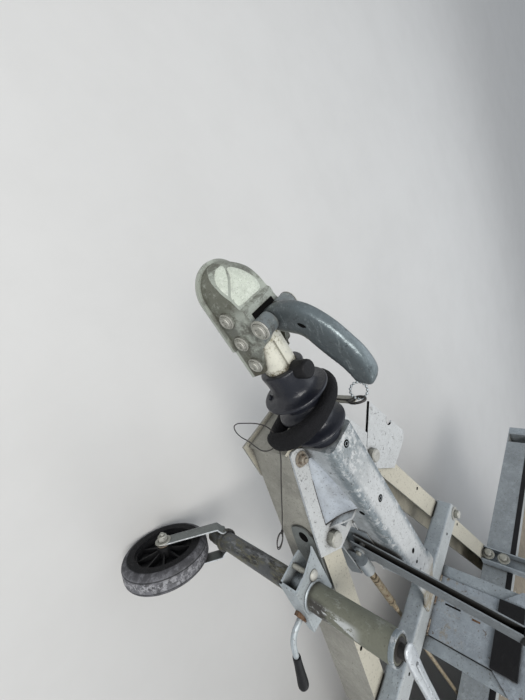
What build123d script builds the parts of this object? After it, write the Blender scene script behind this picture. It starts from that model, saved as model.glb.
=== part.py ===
"""A braked flatbed car trailer with a V drawbar, standing on its jockey wheel.

Millimetres. +X is the trailer's left, +Y runs from the coupling to the tail, +Z is up, and the wheels
stand on z = 0. While the pieces are drawn, y counts from the centre of the tow ball. save() then moves
them so that y = 0 is the middle of the whole length.
"""
import os
from math import cos, radians, sin, sqrt, tan

from build123d import *

os.makedirs("parts", exist_ok=True)

# Heights of the drawtube, the drawbar and the bed
TUBE_Z = 489
BEAM_TOP = 460
BEAM_H = 100
BED_H = 88

# Coupling head: profiles are (y, z) from the ball's centre line
HEAD_R = 42.5
HEAD_TAPER = 9
HEAD_DROP = 24
HEAD_REAR = 139
HEAD_FRONT = ((-34, 484), (-14, 502), (8, 515), (24, 520), (28, 526), (38, 526))
HEAD_BACK = ((72, 540), (96, 512), (130, 493))
RIM_OUT = 4.5
RIM_H = 6
RIM_REAR = 84
BALL_D = 50
BALL_CLEAR = 0.4
BALL_RISE = 12
SIDE_BOLTS_Y = (33, 74, 115)
SIDE_BOLT_D = 12
SIDE_BOSS = (12, 40)
BOLT_HEAD = (10, 5)
TUBE_ROOM = 2
HANDLE_PIVOT = (58, 540)
HANDLE_PIN_D = 12
HANDLE_BOSS = (15, 36)
HANDLE_PIN_HEAD = 12
HANDLE_EYE_R = 18
HANDLE_W = 26
HANDLE_GAP = 0.5
HANDLE_SLOT_Y = 41
HANDLE_OUTER = ((40, 544), (37, 558), (42, 591), (59, 618), (93, 638), (136, 652), (164, 652))
HANDLE_TIP = (183, 632)
HANDLE_INNER = ((164, 613), (144, 605), (111, 583), (94, 568), (89, 552), (86, 534))
HANDLE_ROUND = 3
PIN_GAP = 0.05

# Drawtube and bellows
TUBE_R = 28
TUBE_WALL = 5
TUBE_Y = (62, 730)
GROOVE = (6, 14, 4)
BELLOWS_Y = (150, 314.7)
BELLOWS_COLLAR = (34, 38, 190)
BELLOWS_DISC = (57.5, 201, 208)
BELLOWS_VALLEY = (38, 216, 274)
BELLOWS_REAR = (54, 281, 288)
SOFT_GAP = 0.3
CAP_Y = 159
CAP_R = 13
CAP_TOP = 44
LOOP_R = 12
LOOP_RADIUS = 76
LOOP_YAW = 8
LOOP_PITCH = 10
LOOP_Y = 247

# Overrun housing: plan outlines are (x, y) on the left, the ear is on the right
HOUSING_Y = (315, 735)
HOUSING_TOP = 529
HOUSING_RISE = 1.18
HOUSING_HALF_W = 39
HOUSING_T = 4
HOUSING_ROUND = 9
HOUSING_HOLES_Y = (333, 490, 674)
HOUSING_HOLE_R = 5
BEARING_L = 25
BEARING_FOOT = (20, 12)
TONGUE_Y = (775, 818, 912)
TONGUE_HALF_W = 30
WING_T = 5
WING = ((50, 303), (62, 298), (70, 300), (141, 502), (96, 546))
WING_OPENING = ((43, 354), (90, 460), (60, 530))
FIN = (482, 59, 92, 40)
EAR = ((100, 481), (181, 413), (246, 584), (232, 600), (150, 612), (96, 546))
EAR_NOTCH = (214, 508, 14)

# V drawbar: two channels behind a nose plate
BEAM_Y0 = 297
BEAM_X0 = 71
BEAM_ANGLE = 16.4
BEAM_FLANGE = 50
BEAM_T = 5
NOSE_T = 5
NOSE_HALF_W = 75
SHOE = ((85, 284), (91, 363))

# Cross member, posts and winch
CROSS_Y = (887, 943)
CROSS_H = 44
CROSS_HALF_L = 248
CROSS_T = 4
CROSS_ROUND = 8
POST_HALF_W = 70
POST_FLANGE = 50
POST_T = 5
POST_TOP = 1080
POST_HEAD = (104, 636, 672, 770, 806)
PAD_Z = (634, 681)
PAD_T = 8
PAD_ROUND = 3
STRUT_X = (72, 100)
STRUT_D = 25
STRUT_T = 4
STRUT_Z = (462, 730)
STAKE_W = 50
STAKE_D = 35
STAKE_T = 4
STAKE_TOP = 920
STAKE_INSET = 3
RAIL_D = 42
RAIL_WALL = 3
WINCH_BELOW = (150, 20)
WINCH_HALF_W = 50
WINCH_T = 5
WINCH_OUT = (50, 90)
WINCH_SHAFT_R = 8
WINCH_DRUM = (36, 42)
WINCH_CRANK = (158, 24, 8, 100)

# Handbrake lever, its bracket and the brake rod
LEVER_X = 55
LEVER_PIVOT = (614, 462)
LEVER_LENGTH = 430
LEVER_TAIL = 20
LEVER_W = 16
LEVER_D = 38
LEVER_T = 2.5
LEVER_LEAN = 17
LEVER_PIN_D = 12
LEVER_PIN_HEAD = (11, 5)
BRACKET_Y = (572, 716)
BRACKET_Z = (404, 440, 486)
BRACKET_X = 81
BRACKET_T = 3
SPRING = (14, 660, 704)
ROD_D = 10
ROD_X = 65
ROD_Z = 447
ROD_ROOM = 3
TURNBUCKLE = (9, 745, 840)
EQUALISER = (85, 6)

# Jockey wheel
JOCKEY_X = 195
JOCKEY_Y = 538
OUTER_R = 24
OUTER_BORE = 20.4
OUTER_Z = (428, 620)
OUTER_CAP = 6
INNER_R = 20
INNER_WALL = 3
INNER_Z = (135, 485)
CLAMP_Z = (385, 428, 460)
CLAMP_ALONG = (-42, 58)
CLAMP_T = 5
CLAMP_LIP = 3
CLAMP_SPLIT = 4
FORK_COLLAR_R = 26
FORK_COLLAR_Z = (150, 180)
FORK_SHOULDER = 6
FORK_PLATE_T = 5
FORK_HALF_GAP = 29
FORK_EYE_R = 16
JOCKEY_TRAIL = 120
JOCKEY_HEADING = -28
JOCKEY_WHEEL_R = 100
JOCKEY_WHEEL_W = 50
JOCKEY_RIM_R = 68
JOCKEY_RIM_IN = 6
JOCKEY_TYRE_ROUND = 16
JOCKEY_HUB_R = 18
JOCKEY_PIN_D = 12
JOCKEY_PIN_OUT = 8
CRANK_STEM = (9, 14)
CRANK_ARM = (22, 8)
CRANK_REACH = 150
CRANK_TURN = -12
CRANK_GRIP = (12, 88)

# Bed
BED_Y = (1398, 5398)
BED_HALF_W = 964
SIDE_W = 50
END_W = 40
DECK_T = 15
BEARER_W = 40
BEARER_COUNT = 8
RAIL_X = 640
RAIL_W = 50
SECTION_T = 4
SUB_W = 60
SUB_BEFORE_RAMPS = 60
CORNER_POST = (36, 230)

# Axles, wheels and mudguards
AXLE_Y = (3300, 4040)
AXLE_TUBE = 80
AXLE_ROUND = 10
AXLE_HALF_L = 950
AXLE_PAD = 10
AXLE_PAD_L = 120
ARM_LENGTH = 160
ARM_EYE_R = (37, 30)
ARM_T = 26
STUB_D = 38
TYRE_R = 288
TYRE_W = 165
TYRE_BEAD = (18, 14, 60)
TYRE_SHOULDER = (16, 22)
RIM_R = 172
RIM_W = 140
RIM_LIP = 12
DISC_AT = 30
HUB_R = 52
HUB_CAP_R = 32
HUB_CAP_H = 34
DRUM_R = 118
DRUM_IN = 100
WHEEL_X = 1085
GUARD_GAP = 42
GUARD_T = 3
GUARD_LIP = 28
GUARD_OUT = 20
GUARD_ABOVE_AXLE = 40

# Tail
BOARD_Z = (340, 500)
BOARD_T = 4
LAMP = (210, 44, 100)
LAMP_ROUND = 12
LAMP_INSET = 20
RAMP_LENGTH = 1550
RAMP_X = 30
RAMP_W = 300
RAMP_H = 50
RAMP_SIDE = 25
RAMP_LIFT = 30
RAMP_INSET = 20
RAMP_ROOM = 8
RUNG_COUNT = 9
RUNG_W = 30
RUNG_STEP = 15
RUNNER_W = 30
RUNNERS_FROM_TAIL = (1400, 160)

# Worked out from the values above
HEAD_BOTTOM = TUBE_Z - HEAD_DROP
BALL_Z = HEAD_BOTTOM + BALL_RISE
BEAM_BOTTOM = BEAM_TOP - BEAM_H
BED_TOP = BEAM_TOP + BED_H
CROSS_TOP = BEAM_TOP + CROSS_H
POST_Y = CROSS_Y[1] - POST_T
LOOP_DROP = LOOP_RADIUS * cos(radians(LOOP_PITCH)) - BELLOWS_VALLEY[0] - LOOP_R - SOFT_GAP
AXLE_Z = BEAM_BOTTOM - AXLE_PAD - AXLE_TUBE / 2
ARM_REACH = sqrt(ARM_LENGTH ** 2 - (AXLE_Z - TYRE_R) ** 2)
V_END_Y = BEAM_Y0 + (RAIL_X - BEAM_X0) / tan(radians(BEAM_ANGLE))
RAMP_Y = (BED_Y[1] - RAMP_INSET - RAMP_LENGTH, BED_Y[1] - RAMP_INSET)
RAMP_Z = (BEAM_BOTTOM + RAMP_LIFT, BEAM_BOTTOM + RAMP_LIFT + RAMP_H)
SUB_Y = (V_END_Y, RAMP_Y[0] - SUB_BEFORE_RAMPS - SUB_W)
NOSE_Y = -(HEAD_R + RIM_OUT)
TAIL_Y = BED_Y[1] + BOARD_T + LAMP[1]
MIDDLE_Y = (NOSE_Y + TAIL_Y) / 2


def block(x, y, z):
    """A rectangular block between two values on each axis."""
    size = (x[1] - x[0], y[1] - y[0], z[1] - z[0])
    middle = ((x[0] + x[1]) / 2, (y[0] + y[1]) / 2, (z[0] + z[1]) / 2)
    return Pos(*middle) * Box(*size)


def plate_x(outline, x):
    """A plate cut to an outline in y and z, between two values of x."""
    return extrude(Plane.YZ.offset(x[0]) * Polygon(*outline, align=None), amount=x[1] - x[0], dir=(1, 0, 0))


def plate_y(outline, y):
    """A plate cut to an outline in x and z, between two values of y."""
    face = Plane(origin=(0, y[0], 0), x_dir=(1, 0, 0), z_dir=(0, -1, 0)) * Polygon(*outline, align=None)
    return extrude(face, amount=y[1] - y[0], dir=(0, 1, 0))


def plate_z(outline, z):
    """A plate cut to an outline in x and y, between two heights."""
    return extrude(Plane.XY.offset(z[0]) * Polygon(*outline, align=None), amount=z[1] - z[0], dir=(0, 0, 1))


def rod_x(y, z, radius, x):
    """A round bar along x."""
    return Pos((x[0] + x[1]) / 2, y, z) * Rot(0, 90, 0) * Cylinder(radius, x[1] - x[0])


def rod_y(x, z, radius, y):
    """A round bar along y."""
    return Pos(x, (y[0] + y[1]) / 2, z) * Rot(90, 0, 0) * Cylinder(radius, y[1] - y[0])


def rod_z(x, y, radius, z):
    """A round bar along z."""
    return Pos(x, y, (z[0] + z[1]) / 2) * Cylinder(radius, z[1] - z[0])


def other_side(piece):
    """The same piece on the trailer's other side."""
    return mirror(piece, Plane.YZ)


def save(name, *pieces):
    """Write one node, moved so that the origin is under the middle of the trailer."""
    solids = [solid for piece in pieces for solid in piece.solids()]
    placed = [Pos(0, -MIDDLE_Y, 0) * solid for solid in solids]
    node = placed[0] if len(placed) == 1 else Compound(children=placed)
    export_step(node, f"parts/{name}.step")


def beam_x(y):
    """Where the left drawbar beam's outer face is at this y."""
    return BEAM_X0 + (y - BEAM_Y0) * tan(radians(BEAM_ANGLE))


def on_beam(y, piece):
    """Turn a piece to the left beam's outer face: its own x points outwards and its y runs along."""
    return Pos(beam_x(y), y, 0) * Rot(0, 0, -BEAM_ANGLE) * piece


# Coupling head: a drafted nose over the ball, a ridge before the handle and two cheeks along the drawtube
def coupling_head():
    plan = Circle(HEAD_R) + Pos(0, HEAD_REAR / 2) * Rectangle(2 * HEAD_R, HEAD_REAR)
    top = HANDLE_PIVOT[1] + HANDLE_BOSS[0]
    body = extrude(Plane.XY.offset(HEAD_BOTTOM) * plan, amount=top - HEAD_BOTTOM, taper=HEAD_TAPER)
    side = [(-HEAD_R, HEAD_BOTTOM), (-HEAD_R, HEAD_BOTTOM + RIM_H), *HEAD_FRONT, *HEAD_BACK,
            (HEAD_REAR, HEAD_BACK[-1][1]), (HEAD_REAR, HEAD_BOTTOM)]
    body &= plate_x(side, (-HEAD_R, HEAD_R))
    body &= block((-HEAD_R, HEAD_R), (-HEAD_R, HEAD_REAR), (HEAD_BOTTOM, top))
    rim = extrude(Plane.XY.offset(HEAD_BOTTOM) * offset(plan, RIM_OUT), amount=RIM_H)
    body += rim & block((2 * NOSE_Y, -2 * NOSE_Y), (NOSE_Y, RIM_REAR), (HEAD_BOTTOM, HEAD_BOTTOM + RIM_H))
    body += rod_x(*HANDLE_PIVOT, HANDLE_BOSS[0], (-HANDLE_BOSS[1], HANDLE_BOSS[1]))
    for y in SIDE_BOLTS_Y:
        body += rod_x(y, TUBE_Z, SIDE_BOSS[0], (-SIDE_BOSS[1], SIDE_BOSS[1]))
        body -= rod_x(y, TUBE_Z, SIDE_BOLT_D / 2, (-SIDE_BOSS[1], SIDE_BOSS[1]))
    slot = HANDLE_W / 2 + HANDLE_GAP
    body -= block((-slot, slot), (HANDLE_SLOT_Y, HEAD_REAR), (HEAD_BOTTOM, top))
    room = TUBE_R + TUBE_ROOM
    body -= block((-room, room), (TUBE_Y[0] - TUBE_ROOM, HEAD_REAR), (HEAD_BOTTOM, TUBE_Z + room))
    socket = BALL_D / 2 + BALL_CLEAR
    body -= Pos(0, 0, BALL_Z) * Sphere(socket)
    body -= rod_z(0, 0, socket, (HEAD_BOTTOM, BALL_Z))
    body -= rod_x(*HANDLE_PIVOT, HANDLE_PIN_D / 2, (-HANDLE_BOSS[1], HANDLE_BOSS[1]))
    return body


# Locking handle: a curved cast grip that turns between the cheeks
def coupling_handle():
    edge = Spline(*HANDLE_OUTER) + ThreePointArc(HANDLE_OUTER[-1], HANDLE_TIP, HANDLE_INNER[0])
    edge += Spline(*HANDLE_INNER) + Line(HANDLE_INNER[-1], HANDLE_OUTER[0])
    grip = extrude(Plane.YZ * make_face(edge.edges()), amount=HANDLE_W / 2, both=True)
    grip += rod_x(*HANDLE_PIVOT, HANDLE_EYE_R, (-HANDLE_W / 2, HANDLE_W / 2))
    sides = grip.faces().filter_by(Axis.X)
    grip = fillet([edge for face in sides for edge in face.outer_wire().edges()], HANDLE_ROUND)
    return grip - rod_x(*HANDLE_PIVOT, HANDLE_PIN_D / 2 + PIN_GAP, (-HANDLE_W, HANDLE_W))


def headed_pin(y, z, radius, half, head):
    """A pin along x with a round head on each side of the coupling."""
    pin = rod_x(y, z, radius, (-half, half))
    for x in ((-half - BOLT_HEAD[1], -half), (half, half + BOLT_HEAD[1])):
        pin += rod_x(y, z, head, x)
    return pin


def coupling_pins():
    pins = [headed_pin(y, TUBE_Z, SIDE_BOLT_D / 2, SIDE_BOSS[1], BOLT_HEAD[0]) for y in SIDE_BOLTS_Y]
    return pins + [headed_pin(*HANDLE_PIVOT, HANDLE_PIN_D / 2, HANDLE_BOSS[1], HANDLE_PIN_HEAD)]


def drawtube():
    tube = rod_y(0, TUBE_Z, TUBE_R, TUBE_Y) - rod_y(0, TUBE_Z, TUBE_R - TUBE_WALL, TUBE_Y)
    groove_z = (TUBE_Z + TUBE_R - GROOVE[2], TUBE_Z + TUBE_R)
    tube -= block(GROOVE[:2], (HEAD_BACK[1][0], BELLOWS_Y[0]), groove_z)
    for y in SIDE_BOLTS_Y[1:]:
        tube -= rod_x(y, TUBE_Z, SIDE_BOLT_D / 2, (-TUBE_R, TUBE_R))
    return tube


# Bellows: a tapered collar, a wide front disc, a plain valley, a rear disc and a collar, about the drawtube
def bellows():
    start, end = BELLOWS_Y
    bore = TUBE_R + SOFT_GAP
    lip, full, collar_end = BELLOWS_COLLAR
    outline = [(bore, start), (lip, start), (full, start + full - lip), (full, collar_end)]
    for radius, y0, y1 in (BELLOWS_DISC, BELLOWS_VALLEY, BELLOWS_REAR):
        outline += [(radius, y0), (radius, y1)]
    outline += [(lip, BELLOWS_REAR[2] + SOFT_GAP), (lip, end), (bore, end)]
    return Pos(0, 0, TUBE_Z) * revolve(Plane.XY * Polygon(*outline, align=None), Axis.Y)


def grease_cap():
    cap = rod_z(0, CAP_Y, CAP_R, (TUBE_Z, TUBE_Z + CAP_TOP))
    return cap - rod_y(0, TUBE_Z, BELLOWS_COLLAR[1] + SOFT_GAP, (CAP_Y - CAP_R, CAP_Y + CAP_R))


# Rubber ring hung askew in the valley of the bellows
def bellows_ring():
    ring = Rot(90, 0, 0) * Torus(LOOP_RADIUS, LOOP_R)
    return Pos(0, LOOP_Y, TUBE_Z - LOOP_DROP) * Rot(0, 0, LOOP_YAW) * Rot(LOOP_PITCH, 0, 0) * ring


def housing_top(y):
    """The height of the overrun housing's rising top."""
    return HOUSING_TOP + (y - HOUSING_Y[0]) * tan(radians(HOUSING_RISE))


# Overrun housing: a pressed tunnel round the drawtube, a tongue down to the cross member, wings on the beams
def overrun_housing():
    front, rear = HOUSING_Y
    w, t = HOUSING_HALF_W, HOUSING_T
    ends = (front, housing_top(front)), (rear, housing_top(rear))
    shell = plate_x([(front, BEAM_TOP), *ends, (rear, BEAM_TOP)], (-w, w))
    top_edges = [e for e in shell.edges() if e.length > rear - front and e.center().Z > BEAM_TOP + t]
    shell = fillet(top_edges, HOUSING_ROUND)
    shell -= plate_x([(front, BEAM_TOP), *((y, z - t) for y, z in ends), (rear, BEAM_TOP)], (t - w, w - t))
    for y in (front, rear - 2 * BEARING_L):
        bearing = block((t - w, w - t), (y, y + BEARING_L), (BEAM_TOP, housing_top(y) - t / 2))
        foot = block((-BEARING_FOOT[0], BEARING_FOOT[0]), (y, y + BEARING_L), (BEAM_TOP - BEARING_FOOT[1], TUBE_Z))
        shell += bearing + foot - rod_y(0, TUBE_Z, TUBE_R + SOFT_GAP, (y, y + BEARING_L))
    taper, neck, tip = TONGUE_Y
    tongue = plate_x([(rear, housing_top(rear) - t), (rear, housing_top(rear)), (taper, housing_top(taper)),
                      (CROSS_Y[0], CROSS_TOP + t), (tip, CROSS_TOP + t), (tip, CROSS_TOP), (CROSS_Y[0], CROSS_TOP),
                      (taper, housing_top(taper) - t)], (-w, w))
    n = TONGUE_HALF_W
    shell += tongue & plate_z([(-w, rear), (w, rear), (w, taper), (n, neck), (n, tip), (-n, tip), (-n, neck),
                               (-w, taper)], (CROSS_TOP, CROSS_TOP + BEAM_H))
    wing = plate_z([(w, front), *WING, (w, WING[-1][1])], (BEAM_TOP, BEAM_TOP + WING_T))
    wing -= plate_z([(w, WING_OPENING[0][1]), *WING_OPENING, (w, WING_OPENING[-1][1])],
                    (BEAM_TOP, BEAM_TOP + WING_T))
    fin_y, fin_in, fin_out, fin_h = FIN
    wing += plate_y([(w, BEAM_TOP), (w, BEAM_TOP + fin_h), (fin_in, BEAM_TOP + fin_h), (fin_out, BEAM_TOP + WING_T),
                     (fin_out, BEAM_TOP)], (fin_y, fin_y + WING_T))
    ear = plate_z(EAR, (BEAM_TOP, BEAM_TOP + WING_T))
    ear -= rod_z(*EAR_NOTCH, (BEAM_TOP, BEAM_TOP + WING_T))
    housing = shell + wing + other_side(wing) + other_side(ear)
    for y in HOUSING_HOLES_Y:
        housing -= rod_z(0, y, HOUSING_HOLE_R, (housing_top(y) - 2 * t, housing_top(y) + t))
    return housing


# Drawbar beam: a channel with its open side inward, cut square behind the nose plate and at the rails
def drawbar_beam():
    reach = (-BEAM_FLANGE, (V_END_Y - BEAM_Y0) / cos(radians(BEAM_ANGLE)) + BEAM_FLANGE)
    beam = block((-BEAM_FLANGE, 0), reach, (BEAM_BOTTOM, BEAM_TOP))
    beam -= block((-BEAM_FLANGE, -BEAM_T), reach, (BEAM_BOTTOM + BEAM_T, BEAM_TOP - BEAM_T))
    return on_beam(BEAM_Y0, beam) & block((0, RAIL_X), (BEAM_Y0, V_END_Y), (BEAM_BOTTOM, BEAM_TOP))


# Nose plate across the beams' front ends, hollowed under the bellows, with a shoe under it
def nose_plate():
    plate = block((-NOSE_HALF_W, NOSE_HALF_W), (BEAM_Y0 - NOSE_T, BEAM_Y0), (BEAM_BOTTOM, BEAM_TOP))
    plate -= rod_y(0, TUBE_Z, BELLOWS_COLLAR[1], (BEAM_Y0 - NOSE_T, BEAM_Y0))
    (x0, y0), (x1, y1) = SHOE
    return plate + plate_z([(-x0, y0), (x0, y0), (x1, y1), (-x1, y1)], (BEAM_BOTTOM - NOSE_T, BEAM_BOTTOM))


def cross_member():
    length = (-CROSS_HALF_L, CROSS_HALF_L)
    tube = block(length, CROSS_Y, (BEAM_TOP, CROSS_TOP))
    tube = fillet(tube.edges().filter_by(Axis.X), CROSS_ROUND)
    return tube - block(length, (CROSS_Y[0] + CROSS_T, CROSS_Y[1] - CROSS_T),
                        (BEAM_TOP + CROSS_T, CROSS_TOP - CROSS_T))


# Winch post: a channel on the cross member's rear edge, with a wider head plate behind the pad
def winch_post():
    w, f = POST_HALF_W, POST_FLANGE
    wide, z0, z1, z2, z3 = POST_HEAD
    half = [(w, CROSS_TOP), (w, z0), (wide, z1), (wide, z2), (w, z3), (w, POST_TOP)]
    web = plate_y([*half, *((-x, z) for x, z in reversed(half))], (POST_Y, POST_Y + POST_T))
    flange = block((w - POST_T, w), (POST_Y, POST_Y + f), (CROSS_TOP, POST_TOP))
    return web + flange + other_side(flange)


def winch_pad():
    pad = block((-POST_HALF_W, POST_HALF_W), (POST_Y - PAD_T, POST_Y), PAD_Z)
    return fillet(pad.edges().filter_by(Axis.Z), PAD_ROUND)


# Struts behind the head plate, down to the cross member's rear face
def post_strut():
    y = (CROSS_Y[1], CROSS_Y[1] + STRUT_D)
    strut = block(STRUT_X, y, STRUT_Z)
    return strut - block((STRUT_X[0] + STRUT_T, STRUT_X[1]), (y[0] + STRUT_T, y[1]), STRUT_Z)


# Stakes: channels on the drawbar beams, bolted to the bed's front and carrying a rail
def stake():
    y = (BED_Y[0] - STAKE_D, BED_Y[0])
    x1 = beam_x(y[0]) - STAKE_INSET
    x0 = x1 - STAKE_W
    post = block((x0, x1), y, (BEAM_TOP, STAKE_TOP))
    return post - block((x0 + STAKE_T, x1 - STAKE_T), (y[0], y[1] - STAKE_T), (BEAM_TOP, STAKE_TOP))


def front_rail():
    y, z = BED_Y[0] - STAKE_D / 2, STAKE_TOP + RAIL_D / 2
    x = (-BED_HALF_W, BED_HALF_W)
    return rod_x(y, z, RAIL_D / 2, x) - rod_x(y, z, RAIL_D / 2 - RAIL_WALL, x)


def corner_post():
    side, height = CORNER_POST
    return block((BED_HALF_W, BED_HALF_W + side), (BED_Y[0], BED_Y[0] + side), (BEAM_TOP, BEAM_TOP + height))


# Winch: two cheeks on the post's face, a drum of strap and a crank
def winch_frame():
    z0, z1 = (POST_TOP - below for below in WINCH_BELOW)
    near, far = (POST_Y - out for out in WINCH_OUT)
    w, t = WINCH_HALF_W, WINCH_T
    base = block((-w, w), (POST_Y - t, POST_Y), (z0, z1))
    cheek = plate_x([(POST_Y - t, z0), (POST_Y - t, z1), (near, z1), (far, z1 - w), (far, z0 + w), (near, z0)],
                    (w - t, w))
    frame = base + cheek + other_side(cheek)
    return frame - rod_x(near, (z0 + z1) / 2, WINCH_SHAFT_R, (-w, w))


def winch_drum():
    y, z = POST_Y - WINCH_OUT[0], POST_TOP - sum(WINCH_BELOW) / 2
    drum_r, half = WINCH_DRUM
    length, width, thick, grip = WINCH_CRANK
    x = BRACKET_X
    drum = rod_x(y, z, WINCH_SHAFT_R, (-WINCH_HALF_W - thick, x + thick)) + rod_x(y, z, drum_r, (-half, half))
    drum += block((x, x + thick), (y - width / 2, y + width / 2), (z - length - width / 2, z + width / 2))
    return drum + rod_x(y, z - length, width / 2, (x + thick, x + thick + grip))


# Handbrake lever: a channel open to the front, drawn upright about its pivot and then leant to the rear
def handbrake_lever():
    w, d, t = LEVER_W / 2, LEVER_D / 2, LEVER_T
    arm = block((-w, w), (-d, d), (-LEVER_TAIL, LEVER_LENGTH))
    arm -= block((t - w, w - t), (-d, d - t), (-LEVER_TAIL, LEVER_LENGTH - 2 * t))
    arm -= rod_x(0, 0, LEVER_PIN_D / 2 + PIN_GAP, (-w, w))
    return Pos(LEVER_X, *LEVER_PIVOT) * Rot(-LEVER_LEAN, 0, 0) * arm


# Bracket: a trough beside the housing that holds the lever's pin and the rod's spring sleeve
def handbrake_bracket():
    low, edge, top = BRACKET_Z
    x0, x1, t = HOUSING_HALF_W, BRACKET_X, BRACKET_T
    y0, y1 = BRACKET_Y
    trough = plate_x([(y0, low), (y0, top), (y1 - LEVER_D, top), (y1, edge), (y1, low)], (x0, x0 + t))
    trough += block((x0, x1), BRACKET_Y, (low, low + t))
    trough += plate_x([(y0, low), (y0 + LEVER_TAIL, edge), (y1 - LEVER_TAIL, edge), (y1, low)], (x1 - t, x1))
    radius, s0, s1 = SPRING
    trough += rod_y(ROD_X, ROD_Z, radius, (s0, s1))
    trough += block((ROD_X - radius / 2, ROD_X + radius / 2), (s0, s1), (low, ROD_Z))
    outer = LEVER_X + LEVER_W / 2 + PIN_GAP
    head_r, head = LEVER_PIN_HEAD
    trough += rod_x(*LEVER_PIVOT, LEVER_PIN_D / 2, (x0, outer + head))
    return trough + rod_x(*LEVER_PIVOT, head_r, (outer, outer + head))


def brake_rod():
    end = AXLE_Y[0] - ARM_REACH
    rod = rod_y(ROD_X, ROD_Z, ROD_D / 2, (SPRING[2], end))
    rod += rod_y(ROD_X, ROD_Z, TURNBUCKLE[0], TURNBUCKLE[1:])
    half, t = EQUALISER
    return rod + block((-half, half), (end - t / 2, end + t / 2), (AXLE_Z + AXLE_TUBE / 2, ROD_Z + ROD_D))


# Jockey wheel: outer tube in its clamp, inner tube that winds up into it, swivelling fork and wheel
def jockey_clamp():
    x, y = JOCKEY_X, JOCKEY_Y
    low, mid, top = CLAMP_Z
    a0, a1 = CLAMP_ALONG
    reach = (x - beam_x(y)) / cos(radians(BEAM_ANGLE)) + OUTER_R + CLAMP_T + CLAMP_LIP
    clamp = on_beam(y, block((0, CLAMP_T), (a0, a1), (low, top)))
    for z in ((mid, mid + CLAMP_T), (top - CLAMP_T, top)):
        outline = [(0, a0), (reach, a0 + OUTER_R / 2), (reach, a1 - OUTER_R / 2), (0, a1)]
        clamp += on_beam(y, plate_z(outline, z))
    clamp += rod_z(x, y, OUTER_R + CLAMP_T, (mid, top))
    clamp -= rod_z(x, y, OUTER_R, (low, top))
    split = block((0, 2 * reach), (-CLAMP_SPLIT / 2, CLAMP_SPLIT / 2), (low, top))
    return clamp - Pos(x, y, 0) * Rot(0, 0, -BEAM_ANGLE) * split


def jockey_outer():
    tube = rod_z(JOCKEY_X, JOCKEY_Y, OUTER_R, OUTER_Z)
    return tube - rod_z(JOCKEY_X, JOCKEY_Y, OUTER_BORE, (OUTER_Z[0], OUTER_Z[1] - OUTER_CAP))


def jockey_crank():
    z0 = OUTER_Z[1]
    z1 = z0 + CRANK_STEM[1]
    z2 = z1 + CRANK_ARM[1]
    half = CRANK_ARM[0] / 2
    crank = rod_z(0, 0, CRANK_STEM[0], (z0, z1)) + block((-half, half), (-half, CRANK_REACH), (z1, z2))
    crank += rod_z(0, CRANK_REACH - half, CRANK_GRIP[0], (z2, z2 + CRANK_GRIP[1]))
    return Pos(JOCKEY_X, JOCKEY_Y, 0) * Rot(0, 0, CRANK_TURN) * crank


def jockey_inner():
    x, y = JOCKEY_X, JOCKEY_Y
    tube = rod_z(x, y, INNER_R, INNER_Z) - rod_z(x, y, INNER_R - INNER_WALL, (FORK_COLLAR_Z[0], INNER_Z[1]))
    shoulder = (FORK_COLLAR_Z[1] + PIN_GAP, FORK_COLLAR_Z[1] + FORK_SHOULDER)
    return tube + rod_z(x, y, FORK_COLLAR_R, shoulder) - rod_z(x, y, INNER_R - INNER_WALL, shoulder)


def turned(piece):
    """Move a piece drawn about the jockey's own axis, wheel towards +x, to its place and heading."""
    return Pos(JOCKEY_X, JOCKEY_Y, 0) * Rot(0, 0, JOCKEY_HEADING) * piece


def jockey_fork():
    low, high = FORK_COLLAR_Z
    r, half = FORK_COLLAR_R, FORK_HALF_GAP + FORK_PLATE_T
    fork = block((-r, r), (-half, half), (low, high)) - rod_z(0, 0, INNER_R + PIN_GAP, (low, high))
    axle = (JOCKEY_TRAIL, JOCKEY_WHEEL_R)
    outline = [(-r, low), (-r, high), (r, high), (JOCKEY_TRAIL + FORK_EYE_R, JOCKEY_WHEEL_R),
               (JOCKEY_TRAIL - FORK_EYE_R, JOCKEY_WHEEL_R)]
    plate = plate_y(outline, (FORK_HALF_GAP, half)) + rod_y(*axle, FORK_EYE_R, (FORK_HALF_GAP, half))
    fork += plate + mirror(plate, Plane.XZ)
    return turned(fork + rod_y(*axle, JOCKEY_PIN_D / 2, (-half - JOCKEY_PIN_OUT, half + JOCKEY_PIN_OUT)))


def jockey_hub():
    half = JOCKEY_WHEEL_W / 2 - JOCKEY_RIM_IN
    hub = rod_y(JOCKEY_TRAIL, JOCKEY_WHEEL_R, JOCKEY_RIM_R, (-half, half))
    hub += rod_y(JOCKEY_TRAIL, JOCKEY_WHEEL_R, JOCKEY_HUB_R, (1 - FORK_HALF_GAP, FORK_HALF_GAP - 1))
    hub -= rod_y(JOCKEY_TRAIL, JOCKEY_WHEEL_R, JOCKEY_PIN_D / 2 + PIN_GAP, (-FORK_HALF_GAP, FORK_HALF_GAP))
    return turned(hub)


def jockey_tyre():
    half = JOCKEY_WHEEL_W / 2
    tyre = rod_y(JOCKEY_TRAIL, JOCKEY_WHEEL_R, JOCKEY_WHEEL_R, (-half, half))
    tyre = fillet(tyre.edges(), JOCKEY_TYRE_ROUND)
    return turned(tyre - rod_y(JOCKEY_TRAIL, JOCKEY_WHEEL_R, JOCKEY_RIM_R, (-half, half)))


# Bed: two side beams, a front and a rear beam, cross bearers and the deck between them
def bed_side():
    x = (BED_HALF_W - SIDE_W, BED_HALF_W)
    beam = block(x, BED_Y, (BEAM_TOP, BED_TOP))
    return beam - block((x[0], x[1] - SECTION_T), BED_Y, (BEAM_TOP + SECTION_T, BED_TOP - SECTION_T))


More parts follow.
